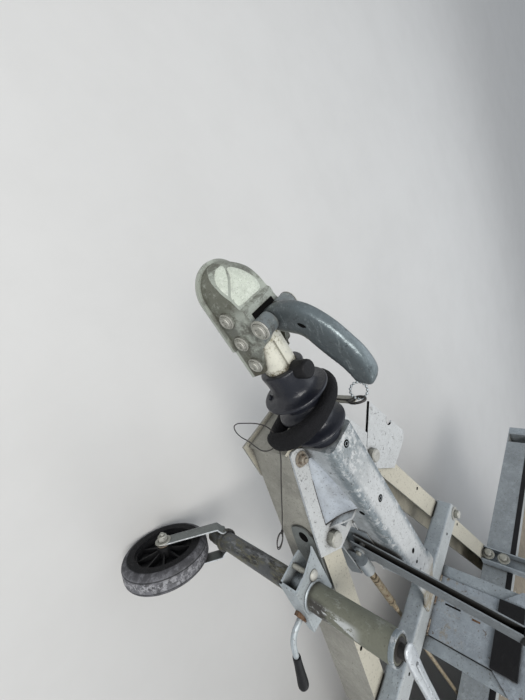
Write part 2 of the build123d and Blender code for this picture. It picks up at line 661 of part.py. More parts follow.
def bed_end(y):
    x = (SIDE_W - BED_HALF_W, BED_HALF_W - SIDE_W)
    beam = block(x, y, (BEAM_TOP, BED_TOP))
    return beam - block(x, (y[0] + SECTION_T, y[1] - SECTION_T), (BEAM_TOP + SECTION_T, BED_TOP - SECTION_T))


def cross_bearers():
    x = (SIDE_W - BED_HALF_W, BED_HALF_W - SIDE_W)
    z = (BEAM_TOP, BED_TOP - DECK_T)
    start, end = BED_Y[0] + END_W, BED_Y[1] - END_W
    bearers = []
    for i in range(BEARER_COUNT):
        y0 = start + (i + 1) * (end - start) / (BEARER_COUNT + 1) - BEARER_W / 2
        bearer = block(x, (y0, y0 + BEARER_W), z)
        bearers.append(bearer - block(x, (y0 + SECTION_T, y0 + BEARER_W), (z[0] + SECTION_T, z[1] - SECTION_T)))
    return bearers


def deck():
    x = BED_HALF_W - SIDE_W
    return block((-x, x), (BED_Y[0] + END_W, BED_Y[1] - END_W), (BED_TOP - DECK_T, BED_TOP))


def chassis_rail():
    x, y = (RAIL_X, RAIL_X + RAIL_W), (V_END_Y, BED_Y[1])
    rail = block(x, y, (BEAM_BOTTOM, BEAM_TOP))
    return rail - block((x[0], x[1] - SECTION_T), y, (BEAM_BOTTOM + SECTION_T, BEAM_TOP - SECTION_T))


# Cross tube between the rails, holed for the brake rod
def subframe(y):
    x = (-RAIL_X, RAIL_X)
    tube = block(x, (y, y + SUB_W), (BEAM_BOTTOM, BEAM_TOP))
    tube -= block(x, (y + SECTION_T, y + SUB_W - SECTION_T), (BEAM_BOTTOM + SECTION_T, BEAM_TOP - SECTION_T))
    return tube - rod_y(ROD_X, ROD_Z, ROD_D / 2 + ROD_ROOM, (y, y + SUB_W))


# Axle: a square tube, pads under the rails, trailing arms and the stubs that carry the hubs
def axle(y_wheel):
    y, z = y_wheel - ARM_REACH, AXLE_Z
    half = AXLE_TUBE / 2
    piece = block((-AXLE_HALF_L, AXLE_HALF_L), (y - half, y + half), (z - half, z + half))
    piece = fillet(piece.edges().filter_by(Axis.X), AXLE_ROUND)
    pad = block((RAIL_X, RAIL_X + RAIL_W), (y - AXLE_PAD_L / 2, y + AXLE_PAD_L / 2), (z + half, BEAM_BOTTOM))
    arm = trace(Line((y, z), (y_wheel, TYRE_R)), 2 * ARM_EYE_R[1])
    arm += Pos(y, z) * Circle(ARM_EYE_R[0]) + Pos(y_wheel, TYRE_R) * Circle(ARM_EYE_R[1])
    arm = extrude(Plane.YZ.offset(AXLE_HALF_L) * arm, amount=ARM_T, dir=(1, 0, 0))
    arm += rod_x(y_wheel, TYRE_R, STUB_D / 2, (AXLE_HALF_L, WHEEL_X + DISC_AT - BEAM_T))
    for added in (pad, arm):
        piece += added + other_side(added)
    return piece


# Road wheels, drawn about y with the outer side towards +y
def tyre():
    half = TYRE_W / 2
    foot, low, belly = TYRE_BEAD
    tread_in, tread_y = TYRE_SHOULDER
    side = [(RIM_R, half - foot), (RIM_R + low, half - BEAM_T), (RIM_R + belly, half), (TYRE_R - tread_in, half - 6),
            (TYRE_R, half - tread_y)]
    return revolve(Polygon(*((r, -y) for r, y in side), *reversed(side), align=None), Axis.Y)


# The drum stands behind the wheel's disc and the cap in front of it, all on one bearing
def rim():
    half, lip = RIM_W / 2, RIM_LIP
    bore = STUB_D / 2 + PIN_GAP
    outline = [(bore, -DRUM_IN), (DRUM_R, -DRUM_IN), (DRUM_R, 0), (HUB_R, 0), (HUB_R + lip, DISC_AT - lip),
               (RIM_R - 2 * lip, DISC_AT - lip), (RIM_R - lip, lip - half), (RIM_R, lip - half), (RIM_R, half),
               (RIM_R - lip, half), (RIM_R - lip, DISC_AT), (HUB_R + lip, DISC_AT + lip / 2), (HUB_R, DISC_AT),
               (HUB_CAP_R, DISC_AT), (HUB_CAP_R, DISC_AT + HUB_CAP_H), (0, DISC_AT + HUB_CAP_H), (0, DISC_AT),
               (bore, DISC_AT)]
    return revolve(Polygon(*outline, align=None), Axis.Y)


def wheel(shape, side, y):
    """Put a wheel piece, drawn about y, on its stub: side is 1 on the left and -1 on the right."""
    return Pos(side * WHEEL_X, y, TYRE_R) * Rot(0, 0, -90 * side) * shape


def over_wheels(radius):
    """The outline in y and z of two wheel arches of this radius joined by a flat top."""
    y0, y1 = AXLE_Y
    arches = Pos(y0, TYRE_R) * Circle(radius) + Pos(y1, TYRE_R) * Circle(radius)
    return arches + Pos((y0 + y1) / 2, TYRE_R + radius / 2) * Rectangle(y1 - y0, radius)


# Mudguard: a bent sheet over both wheels, a lip outside and a side plate on the bed's side beam
def mudguard():
    r = TYRE_R + GUARD_GAP
    low = TYRE_R + GUARD_ABOVE_AXLE
    x0, x1 = BED_HALF_W, WHEEL_X + TYRE_W / 2 + GUARD_OUT
    length = (AXLE_Y[0] - r, AXLE_Y[1] + r)
    sheet = extrude(Plane.YZ.offset(x0) * (over_wheels(r) - over_wheels(r - GUARD_T)), amount=x1 - x0, dir=(1, 0, 0))
    lip = extrude(Plane.YZ.offset(x1 - GUARD_T) * (over_wheels(r) - over_wheels(r - GUARD_LIP)), amount=GUARD_T,
                  dir=(1, 0, 0))
    side = extrude(Plane.YZ.offset(x0) * over_wheels(r), amount=GUARD_T, dir=(1, 0, 0))
    side &= block((x0, x0 + GUARD_T), length, (BEAM_TOP, TYRE_R + r))
    return ((sheet + lip) & block((x0, x1), length, (low, TYRE_R + r))) + side


# Tail: lamp board, two lamps and two loading ramps on runners between the rails
def ramp():
    x = (RAMP_X, RAMP_X + RAMP_W)
    ladder = block((x[0], x[0] + RAMP_SIDE), RAMP_Y, RAMP_Z) + block((x[1] - RAMP_SIDE, x[1]), RAMP_Y, RAMP_Z)
    first = RAMP_Y[0] + RUNG_W
    for i in range(RUNG_COUNT):
        y = first + i * (RAMP_LENGTH - 2 * RUNG_W) / (RUNG_COUNT - 1)
        ladder += block((x[0] + RAMP_SIDE, x[1] - RAMP_SIDE), (y - RUNG_W / 2, y + RUNG_W / 2),
                        (RAMP_Z[0] + RUNG_STEP, RAMP_Z[1]))
    return ladder


def ramp_runners():
    bars = []
    for y in (BED_Y[1] - back for back in RUNNERS_FROM_TAIL):
        bars.append(block((-RAIL_X, RAIL_X), (y, y + RUNNER_W), (BEAM_BOTTOM, RAMP_Z[0])))
    return bars


def lamp_board():
    y = (BED_Y[1], BED_Y[1] + BOARD_T)
    board = block((-BED_HALF_W, BED_HALF_W), y, BOARD_Z)
    mouth = block((RAMP_X - RAMP_ROOM, RAMP_X + RAMP_W + RAMP_ROOM), y, (RAMP_Z[0] - RAMP_ROOM, RAMP_Z[1] + RAMP_ROOM))
    return board - mouth - other_side(mouth)


def lamps():
    width, depth, height = LAMP
    y = BED_Y[1] + BOARD_T
    x = BED_HALF_W - LAMP_INSET
    z = sum(BOARD_Z) / 2
    lamp = block((x - width, x), (y, y + depth), (z - height / 2, z + height / 2))
    lamp = fillet(lamp.edges().filter_by(Axis.Y), LAMP_ROUND)
    return [lamp, other_side(lamp)]


def main():
    save("coupling_head", coupling_head())
    save("coupling_handle", coupling_handle())
    save("coupling_pins", *coupling_pins())
    save("drawtube", drawtube())
    save("bellows", bellows())
    save("bellows_ring", bellows_ring())
    save("grease_cap", grease_cap())
    save("overrun_housing", overrun_housing())
    beam = drawbar_beam()
    save("drawbar_left", beam)
    save("drawbar_right", other_side(beam))
    save("nose_plate", nose_plate())
    save("cross_member", cross_member())
    save("winch_post", winch_post())
    save("winch_pad", winch_pad())
    save("post_struts", post_strut(), other_side(post_strut()))
    save("winch_frame", winch_frame())
    save("winch_drum", winch_drum())
    save("stake_left", stake())
    save("stake_right", other_side(stake()))
    save("front_rail", front_rail())
    save("corner_posts", corner_post(), other_side(corner_post()))
    save("handbrake_bracket", handbrake_bracket())
    save("handbrake_lever", handbrake_lever())
    save("brake_rod", brake_rod())
    save("jockey_clamp", jockey_clamp())
    save("jockey_outer", jockey_outer())
    save("jockey_crank", jockey_crank())
    save("jockey_inner", jockey_inner())
    save("jockey_fork", jockey_fork())
    save("jockey_hub", jockey_hub())
    save("jockey_tyre", jockey_tyre())
    save("bed_side_left", bed_side())
    save("bed_side_right", other_side(bed_side()))
    save("bed_front", bed_end((BED_Y[0], BED_Y[0] + END_W)))
    save("bed_rear", bed_end((BED_Y[1] - END_W, BED_Y[1])))
    save("cross_bearers", *cross_bearers())
    save("deck", deck())
    save("rail_left", chassis_rail())
    save("rail_right", other_side(chassis_rail()))
    save("subframe", *[subframe(y) for y in SUB_Y])
    for name, y in zip(("front", "rear"), AXLE_Y):
        save(f"axle_{name}", axle(y))
        for side_name, side in (("left", 1), ("right", -1)):
            save(f"tyre_{name}_{side_name}", wheel(tyre(), side, y))
            save(f"rim_{name}_{side_name}", wheel(rim(), side, y))
    save("mudguard_left", mudguard())
    save("mudguard_right", other_side(mudguard()))
    save("lamp_board", lamp_board())
    save("rear_lamps", *lamps())
    save("ramps", ramp(), other_side(ramp()))
    save("ramp_runners", *ramp_runners())


main()
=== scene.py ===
"""The looks of the flatbed car trailer: finishes of every surface, small fasteners, treads, wires and welds.

Places are written in millimetres from the centre of the tow ball, as the part's drawing has them: +X is the
trailer's left, +Y runs to the tail and +Z is up. at() turns them into the frame's metres.
"""

import bmesh
import bpy
from math import cos, pi, radians, sin, tan
from mathutils import Matrix, Vector, noise


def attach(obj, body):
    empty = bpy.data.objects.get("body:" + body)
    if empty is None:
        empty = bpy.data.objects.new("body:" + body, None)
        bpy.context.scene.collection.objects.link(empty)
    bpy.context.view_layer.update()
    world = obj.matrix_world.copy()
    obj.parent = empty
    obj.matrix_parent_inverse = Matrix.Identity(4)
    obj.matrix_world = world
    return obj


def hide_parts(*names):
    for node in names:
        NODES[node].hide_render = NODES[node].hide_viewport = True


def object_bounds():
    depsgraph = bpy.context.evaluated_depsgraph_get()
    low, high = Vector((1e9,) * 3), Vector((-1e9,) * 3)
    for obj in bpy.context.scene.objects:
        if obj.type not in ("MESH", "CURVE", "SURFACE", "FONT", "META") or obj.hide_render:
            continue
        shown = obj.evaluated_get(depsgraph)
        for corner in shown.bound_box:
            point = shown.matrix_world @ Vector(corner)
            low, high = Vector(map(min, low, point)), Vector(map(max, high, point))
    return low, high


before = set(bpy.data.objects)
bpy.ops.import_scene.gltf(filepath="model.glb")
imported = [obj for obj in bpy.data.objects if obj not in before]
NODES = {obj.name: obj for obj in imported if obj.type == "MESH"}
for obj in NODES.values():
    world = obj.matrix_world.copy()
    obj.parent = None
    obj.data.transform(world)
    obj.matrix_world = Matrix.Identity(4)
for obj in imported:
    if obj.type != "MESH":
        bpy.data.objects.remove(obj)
CAD_BOX = [list(corner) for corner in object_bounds()]

MM = 0.001
NOSE_FROM_BALL = 47
MIDDLE_Y = -CAD_BOX[0][1] / MM - NOSE_FROM_BALL

# Sizes that the small pieces need from the part, in millimetres
TUBE_Z = 489
BEAM_TOP, BEAM_BOTTOM = 460, 360
BEAM_X0, BEAM_Y0, BEAM_ANGLE = 71, 297, radians(16.4)
WING_TOP = 465
HOUSING_Y, HOUSING_TOP, HOUSING_RISE, HOUSING_HALF_W = 315, 529, radians(1.18), 39
TONGUE_TOP = 508
CROSS_TOP, CROSS_Y = 504, (887, 943)
POST_Y = 938
BED_Y, BED_TOP, BED_HALF_W, DECK_T = (1398, 5398), 548, 964, 15
STAKE_Y = 1363
LEVER_PIVOT, LEVER_X, LEVER_LEAN, LEVER_LENGTH = (614, 462), 55, radians(17), 430
JOCKEY_XY, JOCKEY_HEADING, JOCKEY_TRAIL, JOCKEY_R = (195, 538), radians(-28), 120, 100
AXLE_Y, WHEEL_X, TYRE_R, TYRE_W, RIM_R = (3300, 4040), 1085, 288, 165, 172

SIDES = (1, -1)  # left and right
ACROSS, TO_TAIL, TO_NOSE, UP = (1, 0, 0), (0, 1, 0), (0, -1, 0), (0, 0, 1)


def at(x, y, z):
    """A point of the drawing in the frame's metres."""
    return Vector((x * MM, (y - MIDDLE_Y) * MM, z * MM))


def beam_x(y):
    """Where the left drawbar beam's outer face is at this y."""
    return BEAM_X0 + (y - BEAM_Y0) * tan(BEAM_ANGLE)


# ---- camera and light ----
CAMERA_AT = (296.789, -90.955, 873.534)
CAMERA_UP_ROW = (0.6256365, 0.7777961, -0.0601016)
CAMERA_DOWN_ROW = (0.5561795, -0.4987425, -0.6647708)
CAMERA_FORWARD = (-0.5470313, 0.3824776, -0.7446258)
FOCAL_PX, LONG_SIDE_PX, SENSOR_MM = 329.8076, 700, 36


def add_object(name, data):
    made = bpy.data.objects.new(name, data)
    bpy.context.scene.collection.objects.link(made)
    return made


def make_camera():
    """The photograph lies on its side, so the camera's own x is the scene's up and its y is to the left."""
    data = bpy.data.cameras.new("camera")
    data.sensor_width = SENSOR_MM
    data.lens = FOCAL_PX * SENSOR_MM / LONG_SIDE_PX
    data.clip_start, data.clip_end = 0.02, 60
    camera = add_object("camera", data)
    rows = (-Vector(row) for row in (CAMERA_DOWN_ROW, CAMERA_UP_ROW, CAMERA_FORWARD))
    camera.matrix_world = axes(at(*CAMERA_AT), *rows)
    bpy.context.scene.camera = camera


def make_light(name, spot, aim, energy, size, colour):
    data = bpy.data.lights.new(name, "AREA")
    data.energy, data.size, data.color = energy, size, colour
    light = add_object(name, data)
    light.location = spot
    light.rotation_mode = "QUATERNION"
    light.rotation_quaternion = (aim - spot).to_track_quat("-Z", "Y")


def make_world():
    world = bpy.data.worlds.new("overcast")
    bpy.context.scene.world = world
    world.use_nodes = True
    back = world.node_tree.nodes["Background"]
    back.inputs["Color"].default_value = (0.88, 0.93, 1.0, 1)
    back.inputs["Strength"].default_value = 0.55
    bpy.context.scene.view_settings.view_transform = "Standard"
    make_light("key", at(1700, -1200, 3600), at(100, 400, 400), 125, 2.0, (1, 0.98, 0.95))
    make_light("fill", at(-2600, 900, 2800), at(0, 700, 400), 30, 3.0, (0.92, 0.96, 1))
    make_light("tail", at(1800, 7600, 3600), at(0, 4200, 400), 110, 3.0, (1, 0.99, 0.97))


# ---- finishes ----
class Finish:
    """A procedural finish: layers of colour, roughness and bump over one Principled shader."""

    def __init__(self, name, colour, rough, metal=0.0):
        self.material = bpy.data.materials.new(name)
        self.material.use_nodes = True
        self.tree = self.material.node_tree
        self.shader = self.tree.nodes["Principled BSDF"]
        self.shader.inputs["Metallic"].default_value = metal
        self.colour = (*colour, 1)
        self.rough = rough
        self.height = None
        self.coords = self.tree.nodes.new("ShaderNodeTexCoord").outputs["Object"]

    def put(self, socket, value):
        if isinstance(value, bpy.types.NodeSocket):
            self.tree.links.new(value, socket)
        else:
            socket.default_value = value

    def node(self, kind, **inputs):
        made = self.tree.nodes.new(kind)
        for key, value in inputs.items():
            self.put(made.inputs[key.replace("_", " ")], value)
        return made

    def maths(self, kind, a, b=0.0, clamp=True):
        made = self.tree.nodes.new("ShaderNodeMath")
        made.operation, made.use_clamp = kind, clamp
        self.put(made.inputs[0], a)
        self.put(made.inputs[1], b)
        return made.outputs[0]

    def vectors(self, kind, a, b=None):
        made = self.tree.nodes.new("ShaderNodeVectorMath")
        made.operation = kind
        self.put(made.inputs[0], a)
        if b is not None:
            made.inputs[1].default_value = b
        return made.outputs

    def ranged(self, value, low, high):
        """0 at low and 1 at high, with soft ends; low may be the larger."""
        made = self.tree.nodes.new("ShaderNodeMapRange")
        made.interpolation_type = "SMOOTHSTEP"
        self.put(made.inputs["Value"], value)
        made.inputs["From Min"].default_value = low
        made.inputs["From Max"].default_value = high
        return made.outputs["Result"]

    def vector(self, stretch):
        if stretch is None:
            return self.coords
        made = self.node("ShaderNodeMapping", Vector=self.coords)
        made.inputs["Scale"].default_value = stretch
        return made.outputs["Vector"]

    def noise(self, scale, low, high, detail=6, rough=0.65, stretch=None, warp=0.0):
        made = self.node("ShaderNodeTexNoise", Scale=scale, Detail=detail, Roughness=rough, Distortion=warp,
                         Vector=self.vector(stretch))
        return self.ranged(made.outputs["Fac"], low, high)

    def cells(self, scale):
        """Flat random patches, one value each, as zinc spangle has."""
        made = self.node("ShaderNodeTexVoronoi", Scale=scale, Vector=self.coords)
        return self.node("ShaderNodeSeparateColor", Color=made.outputs["Color"]).outputs["Red"]

    def facing_up(self, low=0.3, high=0.9):
        normal = self.tree.nodes.new("ShaderNodeNewGeometry").outputs["Normal"]
        return self.ranged(self.node("ShaderNodeSeparateXYZ", Vector=normal).outputs["Z"], low, high)

    def creases(self, reach):
        """1 in creases and where pieces meet, 0 in the open: ambient occlusion, used to paint shade there."""
        made = self.node("ShaderNodeAmbientOcclusion", Distance=reach)
        made.samples = 6
        return self.ranged(made.outputs["AO"], 0.85, 0.35)

    def along(self, axis, low, high, both_sides=False):
        """0 to 1 between two places on an axis of the drawing, or between two distances from its middle."""
        value = self.node("ShaderNodeSeparateXYZ", Vector=self.coords).outputs[axis]
        if both_sides:
            value = self.maths("ABSOLUTE", value, clamp=False)
        shift = MIDDLE_Y if axis == "Y" else 0
        return self.ranged(value, (low - shift) * MM, (high - shift) * MM)

    def off_plane(self, point, normal, low, high):
        """0 to 1 between two distances, in millimetres, on either side of a plane."""
        along = self.vectors("DOT_PRODUCT", self.coords, normal)["Value"]
        distance = self.maths("SUBTRACT", along, at(*point).dot(normal), clamp=False)
        return self.ranged(self.maths("ABSOLUTE", distance, clamp=False), low * MM, high * MM)

    def from_axis(self, point, direction, low, high):
        """0 to 1 between two distances, in millimetres, from a line."""
        offset = self.vectors("SUBTRACT", self.coords, at(*point))["Vector"]
        across = self.vectors("CROSS_PRODUCT", offset, direction)["Vector"]
        return self.ranged(self.vectors("LENGTH", across)["Value"], low * MM, high * MM)

    def both(self, *masks):
        out = masks[0]
        for mask in masks[1:]:
            out = self.maths("MULTIPLY", out, mask)
        return out

    def tint(self, mask, colour, amount=1.0, rough=None):
        mask = self.maths("MULTIPLY", mask, amount)
        mix = self.tree.nodes.new("ShaderNodeMix")
        mix.data_type = "RGBA"
        for index, value in ((0, mask), (6, self.colour), (7, (*colour, 1))):
            self.put(mix.inputs[index], value)
        self.colour = mix.outputs[2]
        if rough is not None:
            blend = self.tree.nodes.new("ShaderNodeMix")
            for index, value in ((0, mask), (2, self.rough), (3, rough)):
                self.put(blend.inputs[index], value)
            self.rough = blend.outputs[0]
        return self

    def bump(self, height, depth):
        """Adds a height, in metres, on top of what is there."""
        scaled = self.maths("MULTIPLY", height, depth, clamp=False)
        self.height = scaled if self.height is None else self.maths("ADD", self.height, scaled, clamp=False)
        return self

    def done(self):
        self.put(self.shader.inputs["Base Color"], self.colour)
        self.put(self.shader.inputs["Roughness"], self.rough)
        if self.height is not None:
            made = self.node("ShaderNodeBump", Distance=1.0, Height=self.height)
            self.tree.links.new(made.outputs["Normal"], self.shader.inputs["Normal"])
        return self.material


def shade(colour, factor):
    return tuple(min(1, c * factor) for c in colour)


def zinc(name, colour, dust, dusty, spangle=0.4, metal=0.25, rough=0.5, more=None):
    """Hot-dipped zinc: spangle, cloudy patches, dust on top faces, specks, stains, and grime with painted shade in
    creases.
    """
    f = Finish(name, colour, rough, metal)
    f.tint(f.cells(90), shade(colour, 0.62), spangle)
    f.tint(f.noise(7, 0.42, 0.72, 8), shade(colour, 0.6), 0.6, rough + 0.12)
    f.tint(f.noise(55, 0.5, 0.68, 8), shade(colour, 1.25), 0.55)
    f.tint(f.facing_up(), dust, dusty, 0.75)
    if more:
        more(f)
    f.tint(f.noise(260, 0.6, 0.68, 4, 0.6), (0.085, 0.078, 0.065), 0.7)
    f.tint(f.noise(38, 0.58, 0.7, 8, 0.8, warp=0.8), (0.17, 0.16, 0.14), 0.55)
    # painted shade with grime: near-black in creases and where pieces meet, from ambient occlusion
    f.tint(f.creases(0.022), (0.035, 0.032, 0.027), 0.95, 0.85)
    f.bump(f.noise(210, 0.2, 0.8, 6), 0.0004).bump(f.noise(24, 0.2, 0.8, 4), 0.0012)
    return f.done()


def painted(name, colour, rough=0.42, metal=0.0, dirt_and_shade=(0.06, 0.055, 0.04), wear=(0.3, 0.3, 0.29), more=None):
    """Paint with a little orange peel, scuffs down to metal, specks, and grime with painted shade where pieces meet."""
    f = Finish(name, colour, rough, metal)
    f.tint(f.noise(28, 0.4, 0.75, 8), shade(colour, 0.76), 0.6, rough + 0.12)
    if more:
        more(f)
    f.tint(f.noise(150, 0.58, 0.7, 8, 0.7), wear, 0.5)
    f.tint(f.noise(430, 0.62, 0.72, 3), dirt_and_shade, 0.6)
    # painted shade with grime where pieces meet, from ambient occlusion
    f.tint(f.creases(0.012), dirt_and_shade, 0.85, 0.8)
    f.bump(f.noise(330, 0.2, 0.8, 4), 0.0002).bump(f.noise(40, 0.2, 0.8, 3), 0.0006)
    return f.done()


def rubber(name, colour, dust, rough=0.55, amount=0.3, weave=0, more=None, gloss=0.5):
    f = Finish(name, colour, rough)
    f.shader.inputs["Specular IOR Level"].default_value = gloss
    f.tint(f.noise(35, 0.45, 0.75, 8, 0.7), dust, amount, rough + 0.2)
    f.tint(f.facing_up(0.2, 1.0), dust, amount * 0.7)
    if more:
        more(f)
    f.tint(f.noise(450, 0.58, 0.72, 3), dust, amount)
    f.bump(f.noise(600, 0.2, 0.8, 5), 0.00015).bump(f.noise(50, 0.2, 0.8, 4), 0.0006)
    if weave:
        f.bump(f.noise(weave, 0.3, 0.7, 4, 0.7, (1, 0.25, 1)), 0.0016)
    return f.done()


def rusty(name, colour, more_rust):
    f = Finish(name, colour, 0.5, 0.3)
    f.tint(f.noise(120, 0.5 - more_rust, 0.7 - more_rust, 8, 0.7), (0.115, 0.052, 0.022), 0.9, 0.9)
    f.tint(f.noise(300, 0.56, 0.68, 5, 0.7), (0.22, 0.11, 0.045), 0.7, 0.9)
    # painted shade with grime in creases, from ambient occlusion
    f.tint(f.creases(0.008), (0.03, 0.02, 0.014), 0.8, 0.9)
    f.bump(f.noise(300, 0.2, 0.8, 8, 0.7), 0.0008)
    return f.done()


def head_layers(f):
    """The cast nose: dark sides, a painted highlight on top, painted shade on its left flank, worn grey round the
    handle's lugs.
    """
    # painted highlight: upward faces lighter
    f.tint(f.facing_up(0.35, 0.8), (0.30, 0.325, 0.28), 1.0)
    # painted shade on the upward faces of the left flank
    f.tint(f.both(f.facing_up(0.35, 0.8), f.along("X", -6, -22), f.along("Y", 6, -8)), (0.12, 0.125, 0.11), 0.8)
    f.tint(f.both(f.along("Z", 487, 497), f.along("Y", 14, 34)), (0.31, 0.335, 0.295), 0.85)
    f.tint(f.along("Z", 525, 531), (0.115, 0.135, 0.145), 0.9, 0.38)
    f.tint(f.both(f.along("Z", 531, 520), f.along("Y", 34, 44), f.noise(70, 0.35, 0.6, 8)), (0.10, 0.105, 0.09), 0.9)
    f.tint(f.noise(60, 0.52, 0.68, 8, 0.8), (0.36, 0.38, 0.34), 0.5)
    f.tint(f.noise(45, 0.5, 0.62, 8, 0.8), (0.05, 0.045, 0.032), 0.6, 0.7)
    f.tint(f.along("Y", 96, 132), (0.045, 0.04, 0.025), 0.85, 0.7)
    f.tint(f.along("Z", 472, 469.5), (0.36, 0.385, 0.34), 0.75)


def pad_layers(f):
    f.tint(f.noise(160, 0.46, 0.62, 6, 0.7), (0.60, 0.635, 0.56), 0.7)
    f.tint(f.noise(520, 0.57, 0.63, 4, 0.7), (0.24, 0.25, 0.215), 0.7)


def handle_layers(f):
    """Polished smooth by hands on top, with a painted highlight there, darker low down, with long scratches."""
    # painted highlight: upward faces lighter, and smoother
    f.tint(f.facing_up(-0.1, 0.9), (0.17, 0.205, 0.215), 0.75, 0.28)
    f.tint(f.along("Z", 600, 535), (0.075, 0.085, 0.088), 0.8)
    f.tint(f.noise(140, 0.54, 0.6, 8, 0.8, (1, 0.3, 1)), (0.26, 0.30, 0.31), 0.4, 0.25)
    f.tint(f.noise(90, 0.56, 0.63, 8, 0.8), (0.02, 0.02, 0.02), 0.6)


def cream_layers(f):
    """Yellow and black grime rings where the tube leaves the head and enters the rubber."""
    f.tint(f.both(f.along("Y", 138, 148), f.noise(160, 0.42, 0.56, 8, 0.8)), (0.07, 0.05, 0.012), 1.0, 0.8)
    f.tint(f.both(f.along("Y", 116, 104), f.noise(120, 0.48, 0.62, 8, 0.8)), (0.14, 0.12, 0.05), 0.9, 0.8)


def housing_layers(f):
    """Scuffed bluish long edges, worn patches and sandy dirt on the tongue."""
    top = f.along("Z", 500, 515)
    edge = f.both(f.along("X", 18, 34, True), top, f.along("Y", 775, 735))
    f.tint(f.both(edge, f.noise(70, 0.42, 0.5, 9, 0.8)), (0.15, 0.185, 0.205), 0.85, 0.4)
    f.tint(f.both(f.along("Y", 470, 330), top, f.noise(48, 0.46, 0.54, 9, 0.8)), (0.19, 0.22, 0.23), 0.8, 0.4)
    f.tint(f.both(f.along("X", 34, 40, True), f.along("Z", 470, 500), f.along("Z", 528, 505),
                  f.noise(20, 0.4, 0.7, 9)), (0.20, 0.215, 0.22), 0.6)
    f.tint(f.both(f.along("Y", 748, 800), f.noise(60, 0.38, 0.52, 8, 0.7)), (0.33, 0.29, 0.215), 0.95)
    f.tint(f.noise(85, 0.57, 0.64, 8, 0.8), (0.06, 0.06, 0.058), 0.8)


def web_layers(f):
    f.tint(f.noise(22, 0.35, 0.65, 8, 0.6), (0.46, 0.50, 0.54), 0.8)
    f.tint(f.noise(12, 0.45, 0.7, 8, 0.6, (3, 1, 1)), (0.27, 0.28, 0.29), 0.7)


def beam_layers(f):
    f.tint(f.both(f.along("Z", 440, 380), f.noise(12, 0.35, 0.7, 8)), (0.17, 0.165, 0.14), 0.6)


def tube_layers(f):
    """A flaked white patch with bare dark steel beside it on the worn rear side, and grime at the clamp."""
    worn = f.both(f.along("X", 203, 211), f.along("Z", 463, 476), f.along("Z", 575, 545))
    f.tint(f.both(worn, f.noise(30, 0.46, 0.5, 9, 0.75, (1, 1, 0.5))), (0.48, 0.50, 0.50), 0.95)
    low = f.both(f.along("X", 198, 209), f.along("Z", 458, 470), f.along("Z", 520, 492))
    f.tint(f.both(low, f.noise(48, 0.47, 0.51, 9, 0.8, (1, 1, 0.5))), (0.02, 0.016, 0.012), 0.95, 0.7)
    f.tint(f.noise(45, 0.55, 0.6, 8, 0.8, (1, 1, 0.5)), (0.30, 0.31, 0.28), 0.5)
    f.tint(f.noise(16, 0.5, 0.66, 8, 0.75, (1, 1, 0.4)), (0.075, 0.075, 0.06), 0.7)
    f.tint(f.both(f.along("Z", 474, 461), f.noise(60, 0.35, 0.55, 6)), (0.035, 0.032, 0.022), 0.85)


def stained_layers(f):
    """Long streaks of old grease and mud down the inner tube."""
    f.tint(f.noise(26, 0.46, 0.56, 8, 0.75, (1, 1, 0.25)), (0.125, 0.118, 0.07), 0.85)
    f.tint(f.noise(38, 0.5, 0.57, 8, 0.8, (1, 1, 0.3)), (0.02, 0.02, 0.02), 0.9)
    f.tint(f.noise(60, 0.55, 0.6, 8, 0.8, (1, 1, 0.4)), (0.24, 0.25, 0.26), 0.6)
    f.tint(f.both(f.along("Z", 240, 170), f.noise(30, 0.4, 0.6)), (0.10, 0.115, 0.13), 0.6)


def tyre_layers(f):
    """Black side walls, a grey scuffed tread and a groove off its middle."""
    turn = Matrix.Rotation(JOCKEY_HEADING, 3, "Z")
    normal = turn @ Vector(TO_TAIL)
    hub = Vector((*JOCKEY_XY, JOCKEY_R)) + turn @ Vector((JOCKEY_TRAIL, 0, 0))
    f.tint(f.noise(60, 0.4, 0.6, 8, 0.7), (0.17, 0.17, 0.185), 0.7)
    f.tint(f.both(f.off_plane(hub, normal, 17, 6), f.noise(85, 0.48, 0.56, 9, 0.8)), (0.33, 0.33, 0.345), 0.85)
    f.tint(f.both(f.off_plane(hub, normal, 15, 19), f.noise(70, 0.45, 0.55, 9, 0.8)), (0.05, 0.05, 0.055), 0.7)
    for side in SIDES:
        f.tint(f.off_plane(hub + side * 13 * normal, normal, 1.5, 0.9), (0.015, 0.015, 0.016), 0.8)
    f.tint(f.from_axis(hub, normal, 88, 84), (0.006, 0.006, 0.007), 0.97)


def post_layers(f):
    """Brown and yellow spots where the post was welded and its coating has gone."""
    f.tint(f.both(f.along("Z", 640, 480), f.noise(34, 0.53, 0.6, 9, 0.8)), (0.25, 0.19, 0.10), 0.7, 0.8)
    f.tint(f.noise(70, 0.585, 0.63, 9, 0.8), (0.10, 0.06, 0.028), 0.85, 0.85)


def plywood():
    """Weathered deck boards: grain along the bed, grey bleaching, dark stains and foot wear."""
    f = Finish("deck_plywood", (0.24, 0.20, 0.145), 0.75)
    f.tint(f.noise(7, 0.35, 0.7, 9, 0.65, (14, 0.6, 1), 0.4), (0.15, 0.125, 0.09), 0.8)
    f.tint(f.noise(60, 0.48, 0.66, 8, 0.7, (6, 0.35, 1)), (0.09, 0.075, 0.055), 0.7)
    f.tint(f.noise(2.2, 0.45, 0.75, 8, 0.7), (0.30, 0.275, 0.235), 0.6, 0.85)
    f.tint(f.noise(1.1, 0.54, 0.72, 9, 0.75), (0.08, 0.07, 0.055), 0.6)
    f.bump(f.noise(60, 0.3, 0.7, 8, 0.7, (6, 0.35, 1)), 0.0008)
    return f.done()


